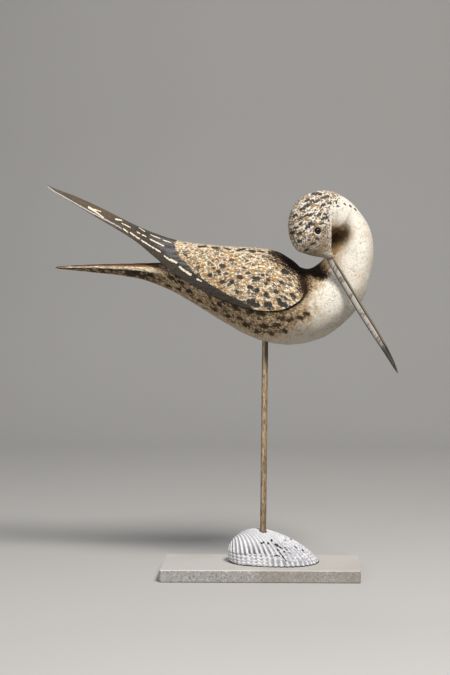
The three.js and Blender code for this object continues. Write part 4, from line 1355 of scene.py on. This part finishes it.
def dab_group():
    """Short brush dabs in rows: masks of the dabs and of the gaps between them, and a tone for each dab."""
    tree, given = shader_group("Brush dabs", ("Vector", "Dab Length", "Dab Breadth", "Wobble"),
                               ("Gaps", "Tone", "Second Tone", "Body"))
    warp = place(tree, "TexNoise", None, Vector=given["Vector"], Scale=0.22, Detail=3.0, Roughness=0.6)
    centred = reckon(tree, "SUBTRACT", warp.outputs["Color"], (0.5, 0.5, 0.5), kind="VectorMath")
    shift = place(tree, "VectorMath", {"operation": "SCALE"}, Vector=centred, Scale=given["Wobble"])
    moved = reckon(tree, "ADD", given["Vector"], shift.outputs[0], kind="VectorMath")
    sizes = place(tree, "CombineXYZ", None, X=given["Dab Length"], Y=given["Dab Breadth"],
                  Z=given["Dab Breadth"])
    shares = reckon(tree, "DIVIDE", moved, sizes.outputs[0], kind="VectorMath")
    cells, edges = (place(tree, "TexVoronoi", {"feature": feature}, Vector=shares, Scale=1.0, Randomness=0.9)
                    for feature in ("F1", "DISTANCE_TO_EDGE"))
    tones = place(tree, "SeparateColor", None, Color=cells.outputs["Color"])
    return give_out(tree, Gaps=between(tree, edges.outputs["Distance"], 0.14, 0.05), Tone=tones.outputs[0],
                    Second_Tone=tones.outputs[1], Body=between(tree, cells.outputs["Distance"], 0.62, 0.4))


def crackle_group():
    """Fine cracks in old paint: a mask of lines that come and go."""
    tree, given = shader_group("Crackle", ("Vector", "Scale"), ("Cracks",))
    cracks = place(tree, "TexVoronoi", {"feature": "DISTANCE_TO_EDGE"}, Vector=given["Vector"],
                   Scale=given["Scale"], Randomness=1.0)
    come = noise(tree, given["Vector"], times(tree, given["Scale"], 0.4), 2.0)
    lines = between(tree, cracks.outputs["Distance"], 0.05, 0.012)
    return give_out(tree, Cracks=times(tree, lines, between(tree, come, 0.42, 0.6)))


brush_dabs = dab_group()
crackle = crackle_group()


def dabbed(tree, vector, length, breadth, wobble):
    return grouped(tree, brush_dabs, Vector=vector, Dab_Length=length, Dab_Breadth=breadth, Wobble=wobble)


def streaks(tree, flow, length, breadth, low, high):
    """Fine strokes along the feathers."""
    shares = reckon(tree, "DIVIDE", flow, (length, breadth, breadth), kind="VectorMath")
    return between(tree, noise(tree, shares, 1.0, 3.0, 0.65), low, high)


def share_of(tree, tone, share):
    """Picks cells whose tone lies in the top share of them."""
    return reckon(tree, "GREATER_THAN", tone, reckon(tree, "SUBTRACT", 1.0, share))


def covert_colours(tree, flow, rough):
    """Ochre, tan and slate dabs in a net of cream strokes, lighter and more streaked over the back."""
    dab = dabbed(tree, flow, 5.4, 4.4, 4.5)
    small = dabbed(tree, flow, 3.4, 1.5, 3.0)
    low_down = between(tree, field(tree, "down_wing"), 10.0, 28.0)
    upper = reckon(tree, "SUBTRACT", 1.0, low_down)
    colour = laid(tree, OCHRE, TAN, between(tree, dab["Tone"], 0.4, 0.6))
    slate_share = reckon(tree, "MULTIPLY_ADD", low_down, 0.26, 0.14)
    colour = laid(tree, colour, SLATE, share_of(tree, dab["Second Tone"], slate_share), dab["Body"], 0.8)
    colour = laid(tree, colour, CREAM_LINE, dab["Gaps"], between(tree, rough, 0.43, 0.53), 0.9)
    colour = laid(tree, colour, CREAM_LINE, share_of(tree, small["Tone"], 0.24), small["Body"], 0.85)
    more_above = reckon(tree, "MULTIPLY_ADD", upper, 0.6, 0.15)
    colour = laid(tree, colour, CREAM_LINE, streaks(tree, flow, 10.0, 1.2, 0.5, 0.58), more_above)
    colour = laid(tree, colour, PRIMARY_DARK, share_of(tree, small["Second Tone"], 0.27), small["Body"], 0.8)
    colour = laid(tree, colour, PRIMARY_BROWN, streaks(tree, flow, 6.0, 1.0, 0.58, 0.68), 0.7)
    spots = between(tree, ragged(tree, "slate", rough, 2.2), 0.9, 1.15)
    return laid(tree, colour, SLATE, spots, 0.95)


def primary_colours(tree, flow, rough):
    """Dark slate flight feathers, browner to the tips, with a painted slate-blue sheen near the coverts,
    cream dashes and a worn light edge.
    """
    along = field(tree, "along")
    to_tip = between(tree, along, -105.0, -190.0)
    colour = laid(tree, PRIMARY_DARK, PRIMARY_BROWN, to_tip)
    fine = streaks(tree, flow, 14.0, 0.9, 0.48, 0.62)
    colour = laid(tree, colour, FLANK_TAN, fine, reckon(tree, "MULTIPLY_ADD", to_tip, 0.4, 0.35))
    # A painted sheen: slate blue near the coverts, where light reflects off the dark paint.
    near_coverts = between(tree, along, -122.0, -100.0)
    sheen = times(tree, near_coverts, between(tree, field(tree, "above_edge"), 11.0, 15.0),
                  between(tree, field(tree, "down_wing"), 5.0, 9.0),
                  streaks(tree, flow, 16.0, 1.5, 0.36, 0.6))
    colour = laid(tree, colour, SLATE_BLUE_SHEEN, sheen, 0.7)
    worn = between(tree, ragged(tree, "worn", rough, 0.8), 0.85, 1.3)
    colour = laid(tree, colour, WORN_GREY, worn, 0.85)
    dash = between(tree, ragged(tree, "dash", rough, 1.2), 1.14, 1.36)
    return laid(tree, colour, CREAM_LINE, dash)


def flank_colours(tree, flow, rough):
    """Umber blotches over a dull tan ground, with short light flecks between."""
    dab = dabbed(tree, flow, 5.0, 5.6, 8.0)
    small = dabbed(tree, flow, 2.6, 1.6, 3.0)
    colour = laid(tree, FLANK_TAN, FLANK_LIGHT, between(tree, rough, 0.42, 0.58))
    dark = times(tree, share_of(tree, dab["Tone"], 0.42), dab["Body"], between(tree, rough, 0.36, 0.5), 0.85)
    colour = laid(tree, colour, UMBER, dark)
    colour = laid(tree, colour, UMBER, share_of(tree, small["Tone"], 0.36), small["Body"], 0.8)
    colour = laid(tree, colour, FLANK_FLECK, share_of(tree, small["Second Tone"], 0.3), small["Body"], 0.85)
    in_front = between(tree, field(tree, "along"), 0.0, 45.0)
    return laid(tree, colour, FLANK_LIGHT, in_front, 0.35)


def tail_colours(tree, flow, rough):
    """A dark line on top, a red-brown and a cream stripe under it, then umber bars and a cream underside."""
    height = ragged(tree, "to_belly", rough, 0.18)
    bars = dabbed(tree, flow, 4.4, 2.6, 5.0)
    stripe = laid(tree, TAN, CREAM_LINE, streaks(tree, flow, 7.0, 1.2, 0.4, 0.6))
    ground = laid(tree, FLANK_TAN, FLANK_LIGHT, streaks(tree, flow, 4.0, 1.0, 0.45, 0.6))
    barred = laid(tree, ground, UMBER, share_of(tree, bars["Tone"], 0.6), 0.92)
    colour = laid(tree, stripe, barred, between(tree, height, 0.4, 0.5))
    colour = laid(tree, colour, TAIL_BROWN, between(tree, height, 0.25, 0.17))
    colour = laid(tree, colour, UMBER, between(tree, height, 0.1, 0.05))
    return laid(tree, colour, CREAM_DULL, between(tree, height, 0.96, 0.99))


def head_colours(tree, in_mm, rough):
    """White and ochre dabs with slate ones in rows over the crown, greyer and browner on the face."""
    turned = place(tree, "VectorRotate", {"rotation_type": "Y_AXIS"}, Vector=in_mm, Angle=CROWN_ROWS_TILT)
    over_crown = turned.outputs[0]
    dab = dabbed(tree, over_crown, 4.0, 2.5, 3.5)
    small = dabbed(tree, over_crown, 2.4, 1.3, 2.5)
    to_bill = ragged(tree, "to_bill", rough, 30.0)
    on_face = between(tree, to_bill, 38.0, 16.0)
    colour = laid(tree, HEAD_OCHRE, CREAM, share_of(tree, dab["Tone"], 0.5))
    colour = laid(tree, colour, FACE_BROWN, between(tree, rough, 0.45, 0.58), 0.6)
    colour = laid(tree, colour, TAN, share_of(tree, small["Tone"], 0.35), small["Body"], 0.8)
    colour = laid(tree, colour, SLATE, share_of(tree, dab["Second Tone"], 0.16), dab["Body"], 0.7)
    colour = laid(tree, colour, CREAM, share_of(tree, small["Second Tone"], 0.36), small["Body"], 0.9)
    mottled = laid(tree, FACE_BROWN, FACE_GREY, between(tree, rough, 0.48, 0.6))
    colour = laid(tree, colour, mottled, on_face, 0.85)
    fleck = times(tree, share_of(tree, small["Tone"], 0.4), between(tree, rough, 0.46, 0.54), 0.85)
    colour = laid(tree, colour, PRIMARY_BROWN, fleck)
    return laid(tree, colour, BILL_ROOT_GREY, between(tree, to_bill, 12.0, 4.0), 0.75)


def eye_ring(tree, name):
    """A painted ring about the eyes, full on its middle line."""
    radius, end, full = EYE_RINGS[name]
    off_line = reckon(tree, "ABSOLUTE", reckon(tree, "SUBTRACT", field(tree, "eye_reach"), radius))
    return between(tree, off_line, end, full)


def bird_paint():
    material, tree = new_finish("Painted and antiqued wood")
    flow = field(tree, "flow", "Vector")
    place_there = surface_place(tree)
    rough = noise(tree, flow, 0.5, 4.0, 0.65)
    in_mm = place(tree, "VectorMath", {"operation": "SCALE"}, Vector=place_there, Scale=1 / MM).outputs[0]
    even_rough = noise(tree, in_mm, 0.5, 4.0, 0.65)
    smudges = noise(tree, in_mm, 0.2, 6.0, 0.72)
    fine = speckled(tree, place_there, 620.0, 0.32, 34.0)
    broad = speckled(tree, place_there, 190.0, 0.3, 60.0)
    cracks = grouped(tree, crackle, Vector=place_there, Scale=230.0)["Cracks"]
    cream = laid(tree, CREAM, CREAM_DULL, between(tree, fine["Clouds"], 0.45, 0.7), 0.55)
    cream = laid(tree, cream, FLANK_TAN, fine["Specks"], 0.2)
    cream = laid(tree, cream, FLANK_TAN, broad["Specks"], 0.16)
    flank = flank_colours(tree, flow, rough)
    on_tail = between(tree, field(tree, "along"), -100.0, -122.0)
    body = laid(tree, flank, tail_colours(tree, flow, rough), on_tail)
    pale = between(tree, ragged(tree, "pale", smudges, 26.0), -1.5, 2.0)
    # Breast and belly painted duller where they face down: painted shade.
    belly = times(tree, between(tree, field(tree, "facing_down"), 0.05, 0.7), 0.8)
    haze = between(tree, ragged(tree, "pale", smudges, 50.0), 12.0, -1.0)
    breast = laid(tree, laid(tree, cream, BELLY_PAINTED_SHADE, belly), FLANK_LIGHT, haze, 0.75)
    body = laid(tree, body, breast, pale)
    blobs = between(tree, ragged(tree, "umber", rough, 4.0), 0.85, 1.15)
    body = laid(tree, body, UMBER, blobs, 0.92)
    crown = between(tree, ragged(tree, "crown", even_rough, 45.0), -3.0, 2.0)
    head = laid(tree, cream, head_colours(tree, in_mm, even_rough), crown)
    head_dabs = between(tree, ragged(tree, "head_dab", even_rough, 1.6), 0.9, 1.15)
    head = laid(tree, head, SLATE, head_dabs, 0.9)
    body = laid(tree, body, head, field(tree, "on_head"))
    coverts = between(tree, ragged(tree, "coverts", rough, 6.0), -0.6, 0.6)
    wing = laid(tree, primary_colours(tree, flow, rough), covert_colours(tree, flow, rough), coverts)
    colour = laid(tree, body, wing, field(tree, "on_wing"))
    # A dark line on the flank along the wings' lower edges: dark paint and painted shadow under the proud
    # edge.
    line = between(tree, field(tree, "wing_line"), 4.4, 3.1)
    line = times(tree, line, reckon(tree, "SUBTRACT", 1.0, field(tree, "on_wing")), 0.92)
    colour = laid(tree, colour, STAIN_AND_SHADOW_BROWN, line)
    stained = ragged(tree, "stain", even_rough, 3.6)
    colour = laid(tree, colour, WASH_BROWN, between(tree, stained, 0.0, 1.0), 0.75, how="MULTIPLY")
    colour = laid(tree, colour, STAIN_AND_SHADOW_BROWN, between(tree, stained, 0.6, 1.4))
    # The hollow is stained brown and darkened as painted shade.
    in_hollow = ragged(tree, "hollow", smudges, 1.6)
    colour = laid(tree, colour, HOLLOW_HAZE, between(tree, in_hollow, -0.7, 0.2), 0.6)
    colour = laid(tree, colour, HOLLOW_STAIN_AND_SHADE, between(tree, in_hollow, 0.1, 0.6), 0.92)
    # Darkest by the cheek: painted shadow cast by the cheek into the hollow.
    deep = times(tree, between(tree, in_hollow, 0.35, 0.95),
                 between(tree, field(tree, "hollow_left"), -0.6, 0.3))
    deep = times(tree, deep, between(tree, smudges, 0.7, 0.48), 0.8)
    colour = laid(tree, colour, STAIN_AND_SHADOW_BROWN, deep)
    colour = laid(tree, colour, WASH_BROWN, cracks, 0.38)
    below_eye = field(tree, "below_eye")
    # Painted shade over the eye, in face brown.
    colour = laid(tree, colour, FACE_BROWN, eye_ring(tree, "shade over eye"), between(tree, below_eye, 1.0, -1.0),
                  0.85)
    colour = laid(tree, colour, CREAM, eye_ring(tree, "crescent"), between(tree, below_eye, 0.5, 2.0))
    colour = laid(tree, colour, STAIN_AND_SHADOW_BROWN, eye_ring(tree, "lid"))
    dull = reckon(tree, "MULTIPLY_ADD", between(tree, stained, -0.4, 0.8), 0.25, 0.46)
    height = reckon(tree, "MULTIPLY_ADD", even_rough, 0.8, fine["Fine"])
    height = reckon(tree, "MULTIPLY_ADD", cracks, -0.6, height)
    return finished(material, Base_Color=colour, Specular_IOR_Level=0.13,
                    Roughness=reckon(tree, "MULTIPLY_ADD", fine["Fine"], 0.3, dull),
                    Normal=bump(tree, height, 0.25 * MM, 0.5))


trunk_rings = path_rings(0, NECK_STATION + 2, 10)
head_rings = path_rings(NECK_STATION - 2, len(TRUNK) + len(HEAD) - 2, 12)
wings_drawn = wing_rings(20)
bird = carved_bird()
mark_paint(bird)
set_points(bird, read_points(bird) + np.array(leg_top))
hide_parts("bird_body")
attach(bird, "root")
bird.data.set_sharp_from_angle(angle=math.radians(50))
bird.data.materials.append(bird_paint())


# Bill
# A separate long stick of stained hardwood, pegged into the face: oval, almost straight, with the groove
# between its halves cut along it and a fine tip. It passes just clear of the breast.

BILL_LENGTH = 136
BILL_HEIGHT = 8.2
BILL_WIDTH = 6.4
BILL_BOW = 1.2
BILL_PEG_LENGTH = 10
BILL_PEG_TAPER = 0.75
BILL_DROP = math.radians(59.4)
BILL_CLEAR_OF_BREAST = 1.5
BREAST_REACH = np.arange(0.1, 0.46, 0.05)
BILL_SHORT_OF_TIP = 0.3
BILL_HIGHLIGHT_PALE = (0.46, 0.42, 0.375)
BILL_BROWN = (0.2, 0.165, 0.125)
BILL_DARK_AND_SHADE = (0.022, 0.02, 0.018)
GROOVE_TURNS = (2.1, -2.1)
GROOVE_HALF_TURN = 0.24
GROOVE_DEPTH = 0.5
BILL_RINGS = 150
BILL_AROUND = 72
# How far along the bill, how thick it is there and how far it bows upwards, as shares of the whole
BILL_STATIONS = [
    (0, 0.88, 0),
    (0.15, 0.96, 0.05),
    (0.45, 1, 0.3),
    (0.65, 0.94, 0.85),
    (0.8, 0.72, 1),
    (0.9, 0.52, 0.75),
    (0.96, 0.32, 0.35),
    (1, 0.08, 0),
]

bill_root = skin_points(HEAD, np.array([1.0]), np.array([0, math.pi]))[0].mean(0)
reach_forward = BREAST_REACH * BILL_LENGTH
breast_half_width = trunk_half_width(bill_root[0] + reach_forward * math.cos(BILL_DROP),
                                     bill_root[2] - reach_forward * math.sin(BILL_DROP))
bill_off_breast = breast_half_width + BILL_WIDTH / 2 + BILL_CLEAR_OF_BREAST
bill_swing = ((bill_off_breast + bill_root[1]) / reach_forward).max()
bill_axis = np.array([math.cos(BILL_DROP), -bill_swing, -math.sin(BILL_DROP)])
bill_axis = bill_axis / np.linalg.norm(bill_axis)


def bill_rings():
    across = np.cross((0, 1, 0), bill_axis)
    across = across / np.linalg.norm(across)
    side = np.cross(bill_axis, across)
    forward, thick, bow = through(BILL_STATIONS, np.linspace(0, 1, BILL_RINGS)).T
    forward = np.concatenate([[-BILL_PEG_LENGTH / BILL_LENGTH], forward])
    thick = np.concatenate([[BILL_PEG_TAPER], thick])
    bow = np.concatenate([[0], bow])
    centre = bill_root + (forward * (BILL_LENGTH - BILL_SHORT_OF_TIP))[:, None] * bill_axis
    centre = centre + (bow * BILL_BOW)[:, None] * np.array([math.sin(BILL_DROP), 0, math.cos(BILL_DROP)])
    turns = np.linspace(0, 2 * math.pi, BILL_AROUND, endpoint=False)
    groove = sum(soft_step(GROOVE_HALF_TURN, 0, abs((turns - turn + math.pi) % (2 * math.pi) - math.pi))
                 for turn in GROOVE_TURNS)
    fade = soft_step(0.02, 0.06, forward) * soft_step(0.93, 0.8, forward)
    sink = GROOVE_DEPTH * groove[None] * fade[:, None]
    high = thick[:, None] * BILL_HEIGHT / 2 - sink
    wide = thick[:, None] * BILL_WIDTH / 2 - sink
    rings = centre[:, None] + (np.cos(turns) * high)[..., None] * across
    rings = rings + (np.sin(turns) * wide)[..., None] * side
    shape = np.zeros((len(forward), BILL_AROUND))
    values = {"forward": forward[:, None], "edge": np.cos(turns), "groove": groove * fade[:, None]}
    return rings, {name: shape + value for name, value in values.items()}


def on_leg_top(points):
    return points * MM + np.array(leg_top)


def bill_wood():
    """Grey-brown wood, paler along the middle as a painted highlight, dark along the lower edge and in the
    groove as painted shade, and dark at the tip.
    """
    material, tree = new_finish("Stained bill wood")
    vector = surface_place(tree)
    forward = field(tree, "forward")
    edge = field(tree, "edge")
    turned = place(tree, "VectorRotate", {"rotation_type": "Y_AXIS"}, Vector=vector, Angle=BILL_DROP)
    fibres = grouped(tree, wood_fibres, Vector=turned.outputs[0], Scale=650.0, Stretch=(0.1, 1.0, 1.0))
    patches = speckled(tree, vector, 560.0, 0.36, 150.0)
    tone = reckon(tree, "MULTIPLY_ADD", patches["Clouds"], 0.5, times(tree, fibres["Tone"], 0.5))
    # Paler along the middle of the near and far faces: a painted highlight.
    middle = between(tree, reckon(tree, "ABSOLUTE", reckon(tree, "SUBTRACT", edge, 0.15)), 0.8, 0.5)
    pale = times(tree, middle, between(tree, tone, 0.4, 0.5))
    colour = laid(tree, BILL_BROWN, BILL_HIGHLIGHT_PALE, pale)
    # Dark along the lower edge: painted shade.
    colour = laid(tree, colour, BILL_DARK_AND_SHADE, between(tree, edge, 0.78, 0.95))
    # Dark in the cut groove: painted shade.
    colour = laid(tree, colour, BILL_DARK_AND_SHADE, between(tree, field(tree, "groove"), 0.0, 0.4))
    rough_tone = reckon(tree, "MULTIPLY_ADD", reckon(tree, "SUBTRACT", tone, 0.5), 0.5, forward)
    colour = laid(tree, colour, BILL_DARK_AND_SHADE, between(tree, rough_tone, 0.72, 0.8), 0.88)
    colour = laid(tree, colour, BILL_BROWN, between(tree, forward, 0.1, 0.01), 0.7)
    colour = laid(tree, colour, BILL_DARK_AND_SHADE, fibres["Pores"], 0.5)
    return finished(material, Base_Color=colour, Specular_IOR_Level=0.2,
                    Roughness=reckon(tree, "MULTIPLY_ADD", fibres["Tone"], 0.3, 0.35),
                    Normal=bump(tree, fibres["Height"], 0.15 * MM, 0.5))


bill_drawn, bill_marks = bill_rings()
points, faces = facing_out(bill_drawn)
bill = make_piece("carved_bill", on_leg_top(points), faces, "bill_wood", "bill")
for name, table in bill_marks.items():
    mark(bill, name, np.concatenate([table.ravel(), table[0, :1], table[-1, :1]]))
bill.data.materials.append(bill_wood())


# Eyes
# Two black glass eyes about 6 mm across, sunk in the head, one on the near cheek and one over the crown.

EYE_BLACK = (0.006, 0.005, 0.005)
EYE_BROWN = (0.02, 0.012, 0.006)
# The dome's height as a share of its radius, and how far down from its top the back starts, in half turns
EYE_DOME = 0.97
EYE_BACK_AT = 0.72


def eye_rings(centre, out):
    """A glass dome with a flat ground back, as eyes for carvings are made."""
    rows = np.concatenate([np.linspace(0.02, 0.5, 14), np.linspace(0.5, EYE_BACK_AT, 6)[1:]]) * math.pi
    turns = np.linspace(0, 2 * math.pi, 48, endpoint=False)
    level = Vector(out).to_track_quat("Z", "Y").to_matrix()
    rise = np.cos(rows) * np.where(rows < math.pi / 2, EYE_DOME, 1)
    ring = np.stack([np.sin(rows)[:, None] * np.cos(turns), np.sin(rows)[:, None] * np.sin(turns),
                     np.repeat(rise[:, None], len(turns), 1)], -1)
    return centre + EYE_RADIUS * ring @ np.array(level).T


def black_glass():
    """Glass with a faint brown ring near its edge and a few dull spots of old varnish."""
    material, tree = new_finish("Black glass")
    dull = speckled(tree, surface_place(tree), 900.0, 0.34, 260.0)
    colour = laid(tree, EYE_BLACK, EYE_BROWN, between(tree, dull["Clouds"], 0.45, 0.75))
    return finished(material, Base_Color=colour, Specular_IOR_Level=0.12, Coat_Weight=0.5,
                    Coat_Roughness=0.03,
                    Roughness=reckon(tree, "MULTIPLY_ADD", dull["Specks"], 0.12, 0.05))


eye_finish = black_glass()
for name, seat in EYE_PLACES.items():
    points, faces = facing_out(eye_rings(*eye_seat(*seat)))
    eye = make_piece(name.replace("eye_", "glass_eye_"), on_leg_top(points), faces, "eye_glass", name)
    eye.data.materials.append(eye_finish)


# Floor, light and camera
# A plain pale floor with a backdrop that sweeps up behind, a large soft light from the front right above,
# weaker ones from the left and from behind, and a long lens at the height of the bird's head.

CAMERA_PLACE = (40.54 * MM, -1710.43 * MM, 337.62 * MM)
CAMERA_TURN = math.radians(1.419)
CAMERA_PITCH = math.radians(3.101)
CAMERA_LENS = 89.21
CAMERA_SHIFT = -34 / 675
FLOOR_PALE = (0.54, 0.53, 0.515)
FLOOR_SHADE = tuple(value * 0.93 for value in FLOOR_PALE)
SWEEP_RADIUS = 0.6
SWEEP_BACK = 1.1
SWEEP_TALL = 1.9
SWEEP_HALF = 2.6
FLOOR_HALF = 16
ROOM_TINT = (0.9, 0.93, 1.0)
ROOM_LIGHT = 0.13


def sweep_profile():
    """Side view of the backdrop: flat in front, a wide bend, then upright."""
    profile = [(-SWEEP_HALF, 0), (SWEEP_BACK, 0)]
    for turn in np.linspace(0, math.pi / 2, 24)[1:]:
        profile.append((SWEEP_BACK + SWEEP_RADIUS * math.sin(turn), SWEEP_RADIUS * (1 - math.cos(turn))))
    return profile + [(profile[-1][0], SWEEP_TALL)]


def stage_sheet(name, profile, half_width, material):
    """A sheet of the stage that follows a side view, equally wide to the left and to the right."""
    points = [(side * half_width, y, z) for y, z in profile for side in (-1, 1)]
    faces = [(2 * i, 2 * i + 1, 2 * i + 3, 2 * i + 2) for i in range(len(profile) - 1)]
    sheet = make_piece(name, points, faces, "", "")
    sheet.data.materials.append(material)


def floor_finish():
    material, tree = new_finish("Pale paper floor")
    clouds = noise(tree, surface_place(tree), 3.0, 3.0)
    return finished(material, Base_Color=laid(tree, FLOOR_PALE, FLOOR_SHADE, clouds), Roughness=0.85)


def soft_light(name, location, aim, size, power, tint):
    light = bpy.data.lights.new(name, "AREA")
    light.shape = "RECTANGLE"
    light.size, light.size_y = size
    light.energy = power
    light.color = tint
    lamp = bpy.data.objects.new(name, light)
    bpy.context.scene.collection.objects.link(lamp)
    lamp.location = location
    lamp.rotation_euler = (Vector(aim) - Vector(location)).to_track_quat("-Z", "Y").to_euler()


paper = floor_finish()
stage_sheet("backdrop", sweep_profile(), SWEEP_HALF, paper)
stage_sheet("floor_around", [(-FLOOR_HALF, -MM), (FLOOR_HALF, -MM)], FLOOR_HALF, paper)
soft_light("key", (0.55, -0.95, 1.6), (0, 0, 0.28), (0.5, 0.5), 36, (1.0, 0.97, 0.93))
soft_light("fill", (-0.9, -1.5, 1.0), (0, 0, 0.25), (0.6, 0.6), 6, (0.95, 0.97, 1.0))
soft_light("back", (-0.3, 1.1, 1.6), (0, 0, 0.3), (0.8, 0.5), 3, (1.0, 0.98, 0.95))

world = bpy.data.worlds.new("studio")
world.use_nodes = True
background = world.node_tree.nodes["Background"]
background.inputs["Color"].default_value = (*ROOM_TINT, 1)
background.inputs["Strength"].default_value = ROOM_LIGHT
bpy.context.scene.world = world
bpy.context.scene.view_settings.view_transform = "Standard"

camera = bpy.data.objects.new("camera", bpy.data.cameras.new("camera"))
bpy.context.scene.collection.objects.link(camera)
camera.data.sensor_width = 36
camera.data.lens = CAMERA_LENS
camera.data.shift_x = CAMERA_SHIFT
camera.data.clip_end = 60
camera.location = CAMERA_PLACE
camera.rotation_euler = (math.pi / 2 - CAMERA_PITCH, 0, CAMERA_TURN)
bpy.context.scene.camera = camera
